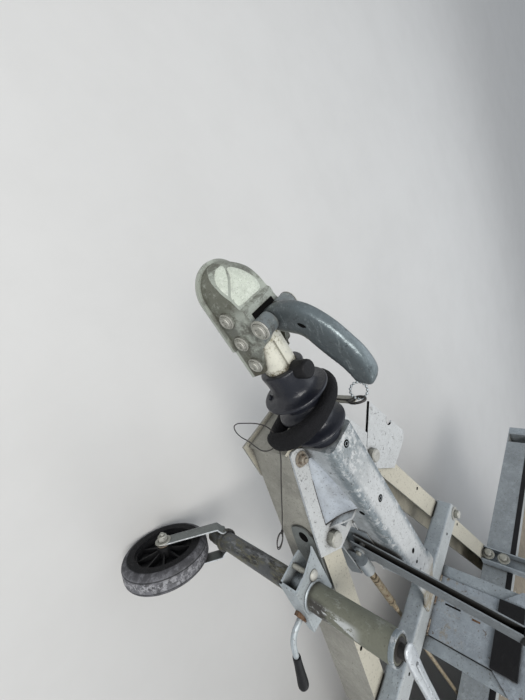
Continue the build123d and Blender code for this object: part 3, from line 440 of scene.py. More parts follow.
LOOK = {
    "housing": zinc("galvanised_bright", (0.46, 0.49, 0.51), (0.62, 0.62, 0.60), 0.6, 0.45, more=housing_layers),
    "beam": zinc("galvanised_dusty", (0.29, 0.285, 0.25), (0.52, 0.49, 0.40), 0.9, 0.15, 0.1, more=beam_layers),
    "grey": zinc("galvanised_grey", (0.31, 0.35, 0.38), (0.47, 0.48, 0.46), 0.6, 0.2),
    "bed": zinc("galvanised_bed", (0.28, 0.31, 0.33), (0.40, 0.40, 0.37), 0.5, 0.3),
    "zinc": zinc("zinc_plate", (0.42, 0.47, 0.50), (0.52, 0.54, 0.52), 0.4, 0.2, 0.5, 0.34),
    "bolt": zinc("bolt_zinc", (0.34, 0.34, 0.30), (0.55, 0.54, 0.50), 0.7, 0.2, 0.4, 0.42),
    "lever": zinc("lever_zinc", (0.20, 0.22, 0.235), (0.26, 0.27, 0.27), 0.4, 0.2, 0.35, 0.45),
    "outer_tube": zinc("tube_dusty", (0.15, 0.155, 0.12), (0.22, 0.22, 0.18), 0.4, 0.1, 0.1, 0.6, more=tube_layers),
    "inner_tube": zinc("tube_stained", (0.085, 0.09, 0.095), (0.15, 0.13, 0.1), 0.2, 0.2, 0.3, 0.42,
                       more=stained_layers),
    "post": zinc("galvanised_post", (0.31, 0.35, 0.39), (0.47, 0.48, 0.46), 0.6, 0.2, more=post_layers),
    # painted shade: the web gets a darker, bluer copy of the housing's zinc
    "web": zinc("galvanised_web_shade", (0.40, 0.44, 0.49), (0.5, 0.53, 0.56), 0.4, 0.2, more=web_layers),
    "strap_face": zinc("strap_dark_zinc", (0.15, 0.165, 0.16), (0.3, 0.31, 0.3), 0.3, 0.2, 0.3, 0.45),
    "bright": zinc("bright_zinc", (0.60, 0.63, 0.65), (0.66, 0.68, 0.68), 0.3, 0.15, 0.6, 0.28),
    "aluminium": zinc("ramp_aluminium", (0.48, 0.49, 0.50), (0.4, 0.39, 0.36), 0.3, 0.0, 0.75, 0.38),
    "head": painted("coupling_grey_green", (0.105, 0.11, 0.085), 0.42, more=head_layers),
    "pad": painted("coupling_pad", (0.52, 0.56, 0.48), 0.4, more=pad_layers),
    "handle": painted("handle_satin", (0.07, 0.085, 0.092), 0.33, 0.45, (0.02, 0.02, 0.02), (0.2, 0.22, 0.23),
                      handle_layers),
    "cream": painted("cream_paint", (0.62, 0.61, 0.52), 0.5, more=cream_layers),
    "rim": painted("rim_silver", (0.36, 0.37, 0.38), 0.35, 0.5),
    "red": painted("lamp_red", (0.32, 0.008, 0.008), 0.14, 0.0, (0.03, 0.01, 0.01), (0.4, 0.06, 0.05)),
    "amber": painted("lamp_amber", (0.58, 0.15, 0.008), 0.14, 0.0, (0.06, 0.03, 0.01), (0.6, 0.28, 0.09)),
    "plate": painted("blank_plate", (0.68, 0.68, 0.66), 0.4, 0.0, (0.3, 0.29, 0.26), (0.5, 0.5, 0.48)),
    "bellows": rubber("bellows_rubber", (0.008, 0.009, 0.014), (0.022, 0.025, 0.033), 0.3, 0.25),
    "ring": rubber("ring_rubber", (0.005, 0.005, 0.006), (0.016, 0.016, 0.019), 0.7, 0.2, 220, gloss=0.2),
    "plastic": rubber("black_plastic", (0.006, 0.006, 0.007), (0.03, 0.03, 0.03), 0.55, 0.15, gloss=0.25),
    "jockey_rubber": rubber("solid_tyre", (0.05, 0.05, 0.055), (0.15, 0.15, 0.15), 0.75, 0.35, more=tyre_layers,
                            gloss=0.2),
    "road_rubber": rubber("road_tyre", (0.022, 0.022, 0.023), (0.08, 0.075, 0.07), 0.75, 0.4),
    "strap": rubber("strap_webbing", (0.035, 0.04, 0.055), (0.10, 0.09, 0.08), 0.85, 0.3, 500),
    "dark": rubber("dark_steel", (0.02, 0.019, 0.018), (0.06, 0.05, 0.04), 0.5, 0.35),
    "hole": rubber("open_hole", (0.003, 0.003, 0.003), (0.010, 0.009, 0.008), 0.9, 0.2, gloss=0.05),
    "rust_dark": rusty("rusty_nut", (0.16, 0.10, 0.06), 0.1),
    "rust": rusty("rusty_rod", (0.34, 0.29, 0.20), 0.03),
    "rusty_bolt": rusty("rusty_bolt", (0.30, 0.27, 0.22), 0.03),
    "plywood": plywood(),
}

LOOK_OF_NODE = {
    "head": "coupling_head", "bolt": "coupling_pins winch_frame winch_drum", "cream": "drawtube",
    "housing": "overrun_housing", "beam": "drawbar_left drawbar_right nose_plate",
    "post": "winch_post",
    "grey": "cross_member post_struts stake_left stake_right front_rail corner_posts handbrake_bracket",
    "plastic": "winch_pad", "lever": "handbrake_lever", "rust": "brake_rod",
    "outer_tube": "jockey_outer", "inner_tube": "jockey_inner", "jockey_rubber": "jockey_tyre",
    "bed": "bed_side_left bed_side_right bed_front bed_rear cross_bearers rail_left rail_right subframe "
           "axle_front axle_rear mudguard_left mudguard_right lamp_board ramp_runners",
    "rim": "rim_front_left rim_front_right rim_rear_left rim_rear_right", "aluminium": "ramps",
}


def dress_nodes():
    """Nodes that a piece replaces are not in the table above and keep no finish."""
    for look, names in LOOK_OF_NODE.items():
        for name in names.split():
            NODES[name].data.materials.clear()
            NODES[name].data.materials.append(LOOK[look])


# ---- mesh tools, all in the drawing's millimetres ----
new = bmesh.new


def axes(centre, u, v, w):
    """From a piece's own axes, which are u, v and w in the drawing, to the drawing."""
    return Matrix.Translation(centre) @ Matrix((u, v, w)).transposed().to_4x4()


def place(centre, axis=UP, spin=0.0):
    """From a piece's own axes, with z along axis and x level, to the drawing."""
    w = Vector(axis).normalized()
    u = Vector(UP).cross(w)
    u = u.normalized() if u.length > 0.01 else Vector(ACROSS)
    return axes(centre, u, w.cross(u), w) @ Matrix.Rotation(spin, 4, "Z")


def beside(side, x, y, z):
    """A place on one side of the trailer whose own z faces outward."""
    return place((side * x, y, z), (side, 0, 0))


def piece(name, mesh, look, body="trailer", sharp=35, replaces=()):
    """Turns a bmesh in millimetres into a finished piece that rides on a body."""
    for vertex in mesh.verts:
        vertex.co = at(*vertex.co)
    bmesh.ops.recalc_face_normals(mesh, faces=mesh.faces)
    data = bpy.data.meshes.new(name)
    mesh.to_mesh(data)
    mesh.free()
    data.materials.append(LOOK[look])
    data.shade_smooth()
    data.set_sharp_from_angle(angle=radians(sharp))
    made = add_object(name, data)
    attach(made, body)
    if replaces:
        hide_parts(*replaces)
    return made


def band(mesh, low, high):
    """Faces all round between two rings of vertices."""
    after = [*range(1, len(low)), 0]
    return [mesh.faces.new((low[i], low[j], high[j], high[i])) for i, j in enumerate(after)]


def skin(mesh, rings, loop=False):
    """Faces between rings of points; a loop joins the last ring to the first, otherwise both ends are closed."""
    rings = [[mesh.verts.new(p) for p in ring] for ring in rings]
    for low, high in zip(rings, rings[1:] + rings[:1] if loop else rings[1:]):
        band(mesh, low, high)
    if not loop:
        mesh.faces.new(rings[0][::-1])
        mesh.faces.new(rings[-1])


def around(where, radius, count, height=0.0, start=0.0):
    """Angles and points, evenly spread on a circle about the local z."""
    angles = [2 * pi * i / count + start for i in range(count)]
    return [(a, where @ Vector((radius * cos(a), radius * sin(a), height))) for a in angles]


def lathe(mesh, profile, where, steps=32, shape=None, loop=False):
    """Turns (radius, height) pairs about the local z; shape(angle, height) changes the radius."""
    rings = []
    for radius, height in profile:
        ring = []
        for i in range(steps):
            angle = 2 * pi * i / steps
            r = radius * (shape(angle, height) if shape else 1)
            ring.append(where @ Vector((r * cos(angle), r * sin(angle), height)))
        rings.append(ring)
    skin(mesh, rings, loop)


def disc(mesh, radius, where, high=0.35, steps=24, low=-0.4):
    """A thin round patch on a surface, as a hole looks from outside."""
    lathe(mesh, ((radius, low), (radius, high), (0.1, high)), where, steps)


def smooth(points, per=6, loop=False):
    """Points on a curve through the given ones; each may carry more numbers after its place."""
    n = len(points)
    out = []
    for i in range(n if loop else n - 1):
        p = [points[k % n] if loop else points[min(max(k, 0), n - 1)] for k in range(i - 1, i + 3)]
        for s in range(per):
            t = s / per
            out.append(tuple(0.5 * (2 * b + (c - a) * t + (2 * a - 5 * b + 4 * c - d) * t ** 2
                                    + (3 * b - a - 3 * c + d) * t ** 3) for a, b, c, d in zip(*p)))
    return out if loop else out + [tuple(points[-1])]


def sweep(mesh, stations, steps=16, side=None, power=2.0, loop=False):
    """A tube through (x, y, z, half width along side, half height) stations, round or squarish by power."""
    centres = [Vector(s[:3]) for s in stations]
    n = len(centres)
    across = Vector(side) if side else None
    rings = []
    for i, (centre, station) in enumerate(zip(centres, stations)):
        ahead = centres[(i + 1) % n] if loop else centres[min(i + 1, n - 1)]
        behind = centres[i - 1] if loop else centres[max(i - 1, 0)]
        tangent = (ahead - behind).normalized()
        if across is None:
            across = tangent.orthogonal()
        u = (across - tangent * across.dot(tangent)).normalized()
        if side is None:
            across = u
        v = tangent.cross(u)
        ring = []
        for k in range(steps):
            angle = 2 * pi * k / steps
            c, s = cos(angle), sin(angle)
            a = station[3] * abs(c) ** (2 / power) * (1 if c > 0 else -1)
            b = station[4] * abs(s) ** (2 / power) * (1 if s > 0 else -1)
            ring.append(centre + u * a + v * b)
        rings.append(ring)
    skin(mesh, rings, loop)


def rod(mesh, points, radius, steps=12, side=None, loop=False):
    sweep(mesh, [(*p, radius, radius) for p in points], steps, side, loop=loop)


def prism(mesh, outline, where, height, bevel=0.8):
    """A flat plate cut to an outline, from local z = 0 up, with rounded edges."""
    low, high = ([mesh.verts.new(where @ Vector((x, y, z))) for x, y in outline] for z in (0, height))
    faces = [mesh.faces.new(low[::-1]), mesh.faces.new(high), *band(mesh, low, high)]
    edges = dict.fromkeys(edge for face in faces for edge in face.edges)
    bmesh.ops.bevel(mesh, geom=list(edges), offset=bevel, segments=2, affect="EDGES", profile=0.5)


def block(mesh, low, high, bevel=0.8):
    outline = ((low[0], low[1]), (high[0], low[1]), (high[0], high[1]), (low[0], high[1]))
    prism(mesh, outline, place((0, 0, low[2])), high[2] - low[2], bevel)


def plate_with_hole(mesh, outline, hole, z0, z1):
    """A flat plate between two heights with one hole through it."""
    walls = [[[mesh.verts.new((x, y, z)) for x, y in loop] for z in (z0, z1)] for loop in (outline, hole)]
    for low, high in walls:
        band(mesh, low, high)
    for layer in (0, 1):
        rings = [wall[layer] for wall in walls]
        edges = [mesh.edges.get(ends) for ring in rings for ends in zip(ring, ring[1:] + ring[:1])]
        bmesh.ops.triangle_fill(mesh, edges=edges, use_beauty=True)


def hex_shape(angle, height):
    return 1 / cos((angle % (pi / 3)) - pi / 6)


def bolt(mesh, centre, axis=UP, across=19, spin=0.0, washer=True, nut=False):
    """A hexagon head on its washer, or a nut with the thread standing out of it."""
    where = place(centre, axis, spin)
    flat, high, base = across / 2, across * 0.62, 0.0
    if washer:
        base = across * 0.12
        lathe(mesh, ((across * 0.3, -0.5), (across * 0.95, -0.5), (across * 0.98, 0.3), (across * 0.95, base),
                     (across * 0.3, base)), where)
    lathe(mesh, ((flat * 0.4, base), (flat, base), (flat, base + high * 0.86)), where, 24, hex_shape)
    lathe(mesh, ((flat * 1.13, base + high * 0.8), (flat * 0.97, base + high), (flat * 0.8, base + high * 1.02),
                 (0.1, base + high * (1.0 if nut else 1.06))), where, 24)
    if nut:
        lathe(mesh, ((flat * 0.56, base), (flat * 0.56, base + high * 1.35), (flat * 0.45, base + high * 1.45)),
              where, 20)


def weld(mesh, points, radius, seed=0):
    """A lumpy bead along a line."""
    stations = []
    for i, p in enumerate(smooth(points, 10)):
        lump = 1 + 0.22 * sin(i * 1.9) + 0.3 * noise.noise(Vector((i * 0.37, seed, 0)))
        stations.append((*p, radius * lump, radius * lump))
    sweep(mesh, stations, 8)


# ---- coupling ----
HANDLE = (  # y, z, half width, half depth from the tip down to the eye
    (182.5, 630.5, 3, 5), (181, 631.5, 7, 10), (176.5, 633, 10.5, 14), (168, 635, 12.4, 17.2), (157.8, 635.6, 13, 19.2),
    (138, 629.5, 13, 22), (119.5, 619, 13, 23.8), (100.3, 608, 13, 24.4), (84, 597, 13, 23), (72, 583, 13, 23.5),
    (65, 566, 13, 24), (62, 550, 13, 22), (60, 538, 13, 18.5), (58.5, 528, 12.5, 13.5), (58, 523.5, 10, 8),
)
HANDLE_PIVOT, HANDLE_BOSS_X = (58, 540), 36
SIDE_BOLTS_Y, SIDE_BOSS_X = (33, 74, 115), 40
HEAD_TOP = ((-42.5, 471), (-34, 484), (-14, 502), (8, 515), (24, 520), (28, 526), (38, 526))
SHIELD = ((-9, -31), (3, -19), (18, -8), (31, 1.5), (33, -6), (30, -15), (22, -24), (9, -31.5), (-2, -33.5))
WEDGE = ((-28, 5), (-22, 20.5), (0, 21.5), (29, 20.5), (33, 12), (29.5, 4.5), (17, -4.5), (1, -16.5), (-9, -26),
         (-17, -24), (-25, -10))
PAD_EDGE = ((1.0, -2.5), (0.99, 0.3), (0.95, 1.1), (0.6, 1.3), (0.3, 1.3), (0.02, 1.3))  # share of the outline, lift
BELLOWS = (  # radius, y from the collar on the tube to the one on the housing
    (33.5, 150), (36.5, 150.6), (38.2, 153), (38, 158), (36.8, 168), (36.8, 180), (37.2, 188), (39, 194),
    (43.5, 198), (50, 200), (55.5, 200.8), (57.6, 202), (58, 204.2), (57, 206.2), (50, 207.4), (40, 209.5),
    (35.5, 214), (34.5, 224), (36, 231), (42, 236), (48.5, 240), (51.5, 244.5), (49, 249.5), (42, 253.5), (36, 257),
    (35.5, 263), (37.5, 270), (43, 275), (50, 279), (54, 282), (54.8, 284.6), (53.6, 287), (48, 289), (40, 291),
    (35, 294), (34, 300), (34, 314.2),
)
BELLOWS_BORE = [(28.6, 314.2), (28.6, 150)]
BELLOWS_FOLD = (230, 257)
CAP_Y = 159
RING_Y, RING_Z, RING_R, RING_BELOW = 247, 464.5, 75, 29  # its radius above and below its middle
RING_TURN = Matrix.Rotation(radians(8), 3, "Z") @ Matrix.Rotation(radians(10), 3, "X")


def coupling_handle():
    mesh = new()
    sweep(mesh, smooth([(0, *s) for s in HANDLE], 5), 36, ACROSS, 3.2)
    piece("handle_grip", mesh, "handle", "handle", 50, ("coupling_handle",))
    mesh = new()
    prism(mesh, ((-5, 0), (5, 0), (5, 13), (3, 15), (-3, 15), (-5, 13)), place((0, 90, 571), (0, -0.45, 0.9)), 12, 1)
    piece("handle_catch", mesh, "handle", "handle")
    mesh = new()
    slot = ((70.5, 584, 1), (72.5, 586.5, 2.6), (75.5, 590.5, 3), (78, 594, 1))
    for x in (-13.1, 13.1):
        sweep(mesh, [(x, y, z, 0.5, high) for y, z, high in slot], 12, ACROSS)
    piece("handle_slots", mesh, "hole", "handle")


def head_top(y):
    """Height of the cast nose along its middle line."""
    for (y0, z0), (y1, z1) in zip(HEAD_TOP, HEAD_TOP[1:]):
        if y <= y1:
            return z0 + (z1 - z0) * (y - y0) / (y1 - y0)
    return HEAD_TOP[-1][1]


def head_pads():
    """Raised faces of the casting, both left bare: a shield on the slope and a wedge before the ridge."""
    mesh = new()
    for outline in (smooth(SHIELD, 4, True), smooth(WEDGE, 4, True)):
        mid = [sum(values) / len(outline) for values in zip(*outline)]
        rings = []
        for share, lift in PAD_EDGE:
            flat = [[m + (p - m) * share for m, p in zip(mid, point)] for point in outline]
            rings.append([(x, y, head_top(y) + lift - 0.0012 * x * x) for x, y in flat])
        skin(mesh, rings)
    piece("head_pads", mesh, "pad", sharp=60)
    mesh = new()
    # painted shade: a thin near-black sheet on the ridge widens the slot before the handle
    prism(mesh, ((-24, 0.5), (24, 0), (26, 10), (-22, 11)), place((0, 38, 525.9), (0, -0.381, 0.925)), 1.2, 0.3)
    for side in SIDES:
        flank = axes((side * 36, 0, 487), TO_TAIL, UP, (side, 0, 0))
        prism(mesh, ((46, -7), (68, -5), (68, 0), (46, 1)), flank, 0.7, 0.2)
    piece("head_slot_shade", mesh, "hole")


def head_fasteners():
    mesh = new()
    for side in SIDES:
        for y in SIDE_BOLTS_Y:
            where = beside(side, SIDE_BOSS_X, y, TUBE_Z)
            lathe(mesh, ((11.2, 0), (12.6, 0.6), (12.6, 2.2), (11.4, 3), (9.8, 3), (9.8, 0)), where)
            lathe(mesh, ((8.4, 4.8), (7.6, 6.6), (4.5, 6.9), (3.8, 5.4), (0.1, 5.2)), where)
        where = beside(side, HANDLE_BOSS_X, *HANDLE_PIVOT)
        lathe(mesh, ((13.5, 0), (15.4, 0.8), (15, 2.6), (12.6, 3.4), (12.4, 0)), where, 36)
        lathe(mesh, ((10.6, 4.8), (9.6, 6.8), (5.5, 7.2), (4.6, 5.6), (0.1, 5.4)), where)
    piece("head_bolt_rings", mesh, "bolt")


def bellows():
    about_tube = place((0, 0, TUBE_Z), TO_TAIL)

    def fold(angle, y):
        """The fold in the valley is flattened at the top, where the rubber ring lies on it."""
        if not BELLOWS_FOLD[0] < y < BELLOWS_FOLD[1]:
            return 1
        up = (about_tube.to_3x3() @ Vector((cos(angle), sin(angle), 0))).z
        return 1 - 0.22 * max(0.0, min(1.0, (up + 0.2) / 0.8))

    mesh = new()
    lathe(mesh, smooth(BELLOWS, 3) + BELLOWS_BORE, about_tube, 72, fold, loop=True)
    piece("bellows_rubber", mesh, "bellows", sharp=70, replaces=("bellows",))
    mesh = new()
    lathe(mesh, ((4, 518), (15.4, 518), (15.6, 539), (14.9, 543), (12.8, 545.2), (6, 546), (0.2, 546.2)),
          place((0, CAP_Y, 0)), 40)
    piece("grease_cap_dome", mesh, "plastic", replaces=("grease_cap",))
    mesh = new()
    prism(mesh, ((-4, 0), (4, 0), (3, 9), (-3, 9)), place((24, 196, 453), (0.5, 0.2, -0.84)), 5, 1)
    piece("bellows_tab", mesh, "bellows")


def bellows_ring():
    """A thick soft ring in the valley, round over the top and tucked in under the bellows."""
    stations = []
    count = 96
    for i in range(count):
        angle = 2 * pi * i / count
        up = cos(angle)
        flat = Vector((RING_R * sin(angle), 0, (RING_R if up > 0 else RING_BELOW) * up))
        centre = Vector((0, RING_Y + 8.4 * max(0.0, -up), RING_Z)) + RING_TURN @ flat
        wide = 11.5 + 6.5 * max(0.0, sin(angle)) * (1 if up > -0.4 else 0.6)
        rough = 1 + 0.05 * noise.noise(Vector((i * 0.6, 3, 0)))
        stations.append((*centre, wide * rough, 11.6 * rough))
    mesh = new()
    sweep(mesh, stations, 24, RING_TURN @ Vector(TO_TAIL), 2.4, loop=True)
    piece("bellows_band", mesh, "ring", sharp=70, replaces=("bellows_ring",))


# ---- overrun housing ----
SCREWS_Y = (333, 490)
WEB_ALONG, WEB_OUT, WEB_Y, WEB_T = 20, 14, 340, 2.5
NOTCH_XY, NOTCH_R = (-214, 508), 13.4


def housing_top(y):
    return HOUSING_TOP + (y - HOUSING_Y) * tan(HOUSING_RISE)


def web_point(side, s, t):
    """On the web's top, s from its front to its rear edge and t from the tunnel's wall out to the wing."""
    inner = HOUSING_HALF_W - 1
    return (side * (inner + (44 + 50 * s ** 0.85 - inner) * t),
            WEB_Y + s * (138 - 10 * t * t) + 5 * sin(pi * t) * s,
            WING_TOP + 0.4 + (5 + 37 * s ** 0.75) * (1 - t) ** 2.6)


def housing_webs():
    """The pressed web that runs in a hollow curve from the tunnel's wall out into each wing."""
    mesh, seam_shade = new(), new()
    for side in SIDES:
        rows = [[web_point(side, i / WEB_ALONG, k / WEB_OUT) for k in range(WEB_OUT + 1)] for i in range(WEB_ALONG + 1)]
        rims = []
        for drop in (0, WEB_T):
            grid = [[mesh.verts.new((x, y, z - drop)) for x, y, z in row] for row in rows]
            for a, b in zip(grid, grid[1:]):
                for k in range(WEB_OUT):
                    mesh.faces.new((a[k], a[k + 1], b[k + 1], b[k]))
            rims.append([row[0] for row in grid] + grid[-1][1:] + [row[-1] for row in grid[-2::-1]] + grid[0][-2:0:-1])
        band(mesh, *rims)
        # dark seam lines that are also painted shade, along the web's rear rim and where it meets the wing
        rod(seam_shade, [(x, y + 1.2, z) for x, y, z in rows[-1][2:]], 1.5, 8)
        rod(seam_shade, [(x, y, z + 0.1) for x, y, z in (row[-1] for row in rows[6:])], 0.5, 6)
    piece("housing_webs", mesh, "web", sharp=60)
    piece("web_seam_shade", seam_shade, "dark", sharp=60)


def housing_fasteners():
    mesh = new()
    for side in SIDES:
        bolt(mesh, (side * 100, 501, WING_TOP), across=27, spin=0.4, washer=False)
        bolt(mesh, (side * 236, 915, CROSS_TOP), spin=0.4 * side)
    bolt(mesh, (-19, 854, TONGUE_TOP), spin=0.2, washer=False)
    piece("drawbar_bolts", mesh, "bolt")
    mesh = new()
    for side in SIDES:
        bolt(mesh, (side * 56, 324, WING_TOP), across=15, spin=0.3, nut=True)
    piece("wing_nuts", mesh, "rusty_bolt")
    mesh = new()
    for y in SCREWS_Y:
        lathe(mesh, ((7.4, -0.5), (7.4, 0.3), (0.1, 0.35)), place((0, y, housing_top(y))), 28)
    for x, y, r in ((0, 674, 5.4), (7, 704, 3.6)):
        lathe(mesh, ((r, -0.5), (r, 0.35), (r * 0.3, 0.4), (0.1, 0.4)), place((x, y, housing_top(y))), 24)
    for side in SIDES:
        disc(mesh, 5.5, beside(side, HOUSING_HALF_W, 492, 509), 0.5, low=-0.5)
    # painted shade: a near-black line along the front edge of the far ear plate
    rod(mesh, ((-103, 477.5, 462.5), (-141, 445.5, 462.5), (-180, 413, 462.5)), 2.7, 10)
    # painted shade: near-black arcs on the inner wall of the notch
    for z in (461.2, 463.8):
        rod(mesh, [(NOTCH_XY[0] + NOTCH_R * cos(radians(d)), NOTCH_XY[1] + NOTCH_R * sin(radians(d)), z)
                   for d in range(-75, 100, 12)], 1.2, 8)
    piece("housing_holes_and_shade", mesh, "hole")
    mesh = new()
    for y in SCREWS_Y:
        lathe(mesh, ((3.3, 0), (4.1, 0), (4.1, 0.4), (3.3, 0.4)), place((0, y, housing_top(y) + 0.3)), 24, hex_shape,
              loop=True)
    piece("socket_screws", mesh, "zinc")
    mesh = new()
    for side in SIDES:
        weld(mesh, ((side * 30, 888, 505), (side * 31, 900, 505), (side * 30, 912, 505)), 2.2, side)
        weld(mesh, ((side * 39.5, 545, 466), (side * 39.5, 640, 462), (side * 39.5, 733, 462)), 2.0, side + 4)
    weld(mesh, ((-29, 913, 505), (0, 913.5, 505), (29, 913, 505)), 2.4, 2)
    piece("housing_welds", mesh, "housing", sharp=70)


# ---- drawbar, post and bracket ----
POST_HALF_W = 70
POST_FOOT_WELDS = ((-69, -44), (-24, 2), (38, 69))
CROSS_ENDS = ((-248.7, -246), (246, 248.7))
BRAKE_ROD = (65, 447)
LEVER_GRIP = (  # share of the lever's length, half width, half depth
    (0.64, 9, 20), (0.645, 10.4, 21.5), (0.66, 10.6, 21.8), (0.8, 10.4, 21), (0.96, 10.8, 21.6), (1.0, 10.6, 21.2),
    (1.012, 8, 17),
)


def post_details():
    mesh = new()
    for side in SIDES:
        weld(mesh, [(side * POST_HALF_W, y, CROSS_TOP + up) for y, up in ((940, 0), (960, 1), (986, 0))], 2.6, 7)
    for x0, x1 in POST_FOOT_WELDS:
        weld(mesh, ((x0, POST_Y - 1, CROSS_TOP + 1), ((x0 + x1) / 2, POST_Y - 1.4, CROSS_TOP + 1.4),
                    (x1, POST_Y - 1, CROSS_TOP + 1)), 2.4, x0)
    piece("post_welds", mesh, "rusty_bolt", sharp=70)
    mesh = new()
    block(mesh, (-11, POST_Y - 0.5, 528), (-7.4, POST_Y + 0.4, 562), 0.2)
    for x0, x1 in CROSS_ENDS:
        block(mesh, (x0, CROSS_Y[0] + 4, BEAM_TOP + 4), (x1, CROSS_Y[1] - 4, CROSS_TOP - 4), 0.3)
    piece("post_slots", mesh, "hole")
    mesh = new()
    block(mesh, (-5.4, POST_Y - 0.5, 587), (-1.2, POST_Y + 0.4, 604), 0.2)
    piece("post_rust_spot", mesh, "rust_dark")
    mesh = new()
    for side in SIDES:
        for z in (478, 492):
            bolt(mesh, (side * 86, 947, z), TO_NOSE, 10, 0.4, washer=False)
    for x in (-36, 36):
        for z in (950, 1040):
            bolt(mesh, (x, POST_Y - 5, z), TO_NOSE, 13, 0.5)
    piece("post_bolts", mesh, "bolt")
    mesh = new()
    for x in (-166, 166):
        disc(mesh, 3.6, place((x, 905, CROSS_TOP)), steps=20)
    for y in (760, 1080):
        for side in SIDES:
            disc(mesh, 4.5, place((side * (beam_x(y) - 12), y, BEAM_TOP)))
    piece("frame_holes", mesh, "hole")


def brake_gear():
    mesh = new()
    x, z = BRAKE_ROD
    for y in (736, 849):
        lathe(mesh, ((4, -4), (8.5, -4), (8.5, 4), (4, 4)), place((x, y, z), TO_TAIL), 24, hex_shape)
    for y in (*range(712, 732, 3), *range(856, 892, 3)):
        lathe(mesh, ((5.1, -1), (5.7, 0), (5.1, 1)), place((x, y, z), TO_TAIL), 16)
    piece("rod_nuts", mesh, "rust")
    mesh = new()
    lean = Vector((0, sin(LEVER_LEAN), cos(LEVER_LEAN)))
    pivot = Vector((LEVER_X, *LEVER_PIVOT))
    grip = [(*(pivot + lean * LEVER_LENGTH * share), wide, deep) for share, wide, deep in LEVER_GRIP]
    sweep(mesh, smooth(grip, 4), 32, ACROSS, 4)
    piece("lever_grip", mesh, "plastic", "handbrake", 60)
    mesh = new()
    lathe(mesh, ((0.1, 5), (5, 5.4), (6, 4.4), (6, 0)), place((LEVER_X + 13, *LEVER_PIVOT), ACROSS), 24)
    piece("lever_rivets", mesh, "bolt", "handbrake")


# ---- jockey wheel ----
CLAMP_R = 24.2
CLAMP_PLATES = (  # height, outline
    (455, ((140, 470), (147, 478), (181, 489), (212, 490), (222, 538), (233, 585), (214, 590), (176, 584), (158, 575))),
    (417, ((150, 492), (165, 490), (216, 490), (223, 536), (205, 566), (158, 566))),
)
CLAMP_WALL = ((212, 490), (217, 490), (226.5, 536), (237.5, 585), (233, 586.5), (222, 537))
CLAMP_WALL_LOW, CLAMP_WALL_TOP = (417, 417, 424, 446, 446, 424), 459.5
CLAMP_EAR = ((-84, 22), (-78, 6), (-62, -4), (45, -4), (52, 2), (52, 50), (46, 54), (-56, 54), (-74, 46), (-83, 36))
CLAMP_HANDLE = ((222, 556, 440), (240, 558, 440), (256, 561, 439), (268, 569, 438), (277, 584, 437), (288, 612, 436))
CLAMP_GRIP = (  # x, y, z, radius
    (283, 600, 436.4, 6.4), (283.5, 601, 436.3, 7.6), (290, 616, 436, 7.8), (300, 640, 435, 9.4),
    (307, 656, 434.5, 10.4), (309.5, 662, 434.3, 8.6), (310.8, 665, 434.2, 4),
)
CRANK_TURN, CRANK_GRIP_AT = radians(-12), 139
CRANK_ARM = (  # y from the tube's middle, z, half width, half height
    (-21, 635, 3, 1.5), (-19, 636, 7.5, 3), (-12, 637, 11.5, 4), (4, 638, 12.5, 4.5), (24, 639, 12, 5),
    (50, 642, 10.5, 5.5), (80, 646, 10, 6), (118, 649, 10, 6), (142, 649, 10, 5), (149, 649, 7, 4), (151, 649, 3, 2),
)
CRANK_RIDGE = ((8, 643.4), (30, 644.8), (60, 648.4), (95, 652.6), (130, 654.6))
FORK_STRAP = (  # x from the tube's middle, offset across, z, half width
    (-6, 22.6, 178, 12), (-3, 23, 176.5, 15), (2, 25, 173.5, 16), (9, 34, 169, 16.5), (14, 36, 166, 16.5),
    (60, 36, 137, 16), (100, 36, 111.5, 15.5), (119, 36, 99.6, 15.5), (127, 36, 94.6, 12), (131, 36, 92, 7.5),
    (133, 36, 90.8, 2.5),
)
HUB_RIBS = 9


def jockey_clamp():
    """A folded bracket round the tube, an ear plate on the beam and a screw with a bent handle."""
    x, y = JOCKEY_XY
    mesh = new()
    hole = [(x + CLAMP_R * cos(radians(d)), y + CLAMP_R * sin(radians(d))) for d in range(180, 540, 9)]
    for z, outline in CLAMP_PLATES:
        plate_with_hole(mesh, outline, hole, z, z + 4.5)
    skin(mesh, ([(*p, z) for p, z in zip(CLAMP_WALL, CLAMP_WALL_LOW)], [(*p, CLAMP_WALL_TOP) for p in CLAMP_WALL]))
    lathe(mesh, ((24.1, 416), (28.5, 417), (28.8, 440), (28.5, 461), (27, 463), (24.1, 463)), place((x, y, 0)), 48,
          loop=True)
    along = sin(BEAM_ANGLE), cos(BEAM_ANGLE), 0
    out = cos(BEAM_ANGLE), -sin(BEAM_ANGLE), 0
    face = axes((beam_x(y), y, 401), along, UP, out)
    plate = new()
    prism(plate, smooth(CLAMP_EAR, 3, True), face, 5, 0.6)
    piece("clamp_ear", plate, "strap_face")
    plate = new()
    lathe(plate, ((11, 4.6), (11, 5.3), (0.1, 5.4)), face @ Matrix.Translation((-62, 26, 0)))
    piece("clamp_ear_hole", plate, "hole")
    piece("clamp_bracket", mesh, "zinc", replaces=("jockey_clamp",))
    mesh = new()
    lathe(mesh, ((5, 415), (5, 458)), place((177, 497, 0)), 20)
    lathe(mesh, ((10, 459.3), (10.4, 460.6), (9, 463), (5, 465.3), (0.1, 466)), place((172, 509, 0)))
    bolt(mesh, face @ Vector((36, 26, 5)), out, spin=0.2)
    piece("clamp_bolts", mesh, "bolt")
    mesh = new()
    lathe(mesh, ((5, 0), (10.5, 0), (10.5, 10), (5, 10)), place((226, 556, 440), (1, 0.1, 0)), 24, hex_shape)
    piece("clamp_nut", mesh, "rust_dark")
    mesh = new()
    rod(mesh, smooth(CLAMP_HANDLE), 5.6, 16)
    piece("clamp_handle", mesh, "zinc")
    mesh = new()
    sweep(mesh, [(*s, s[3]) for s in smooth(CLAMP_GRIP, 5)], 24)
    piece("clamp_grip", mesh, "plastic", sharp=70)


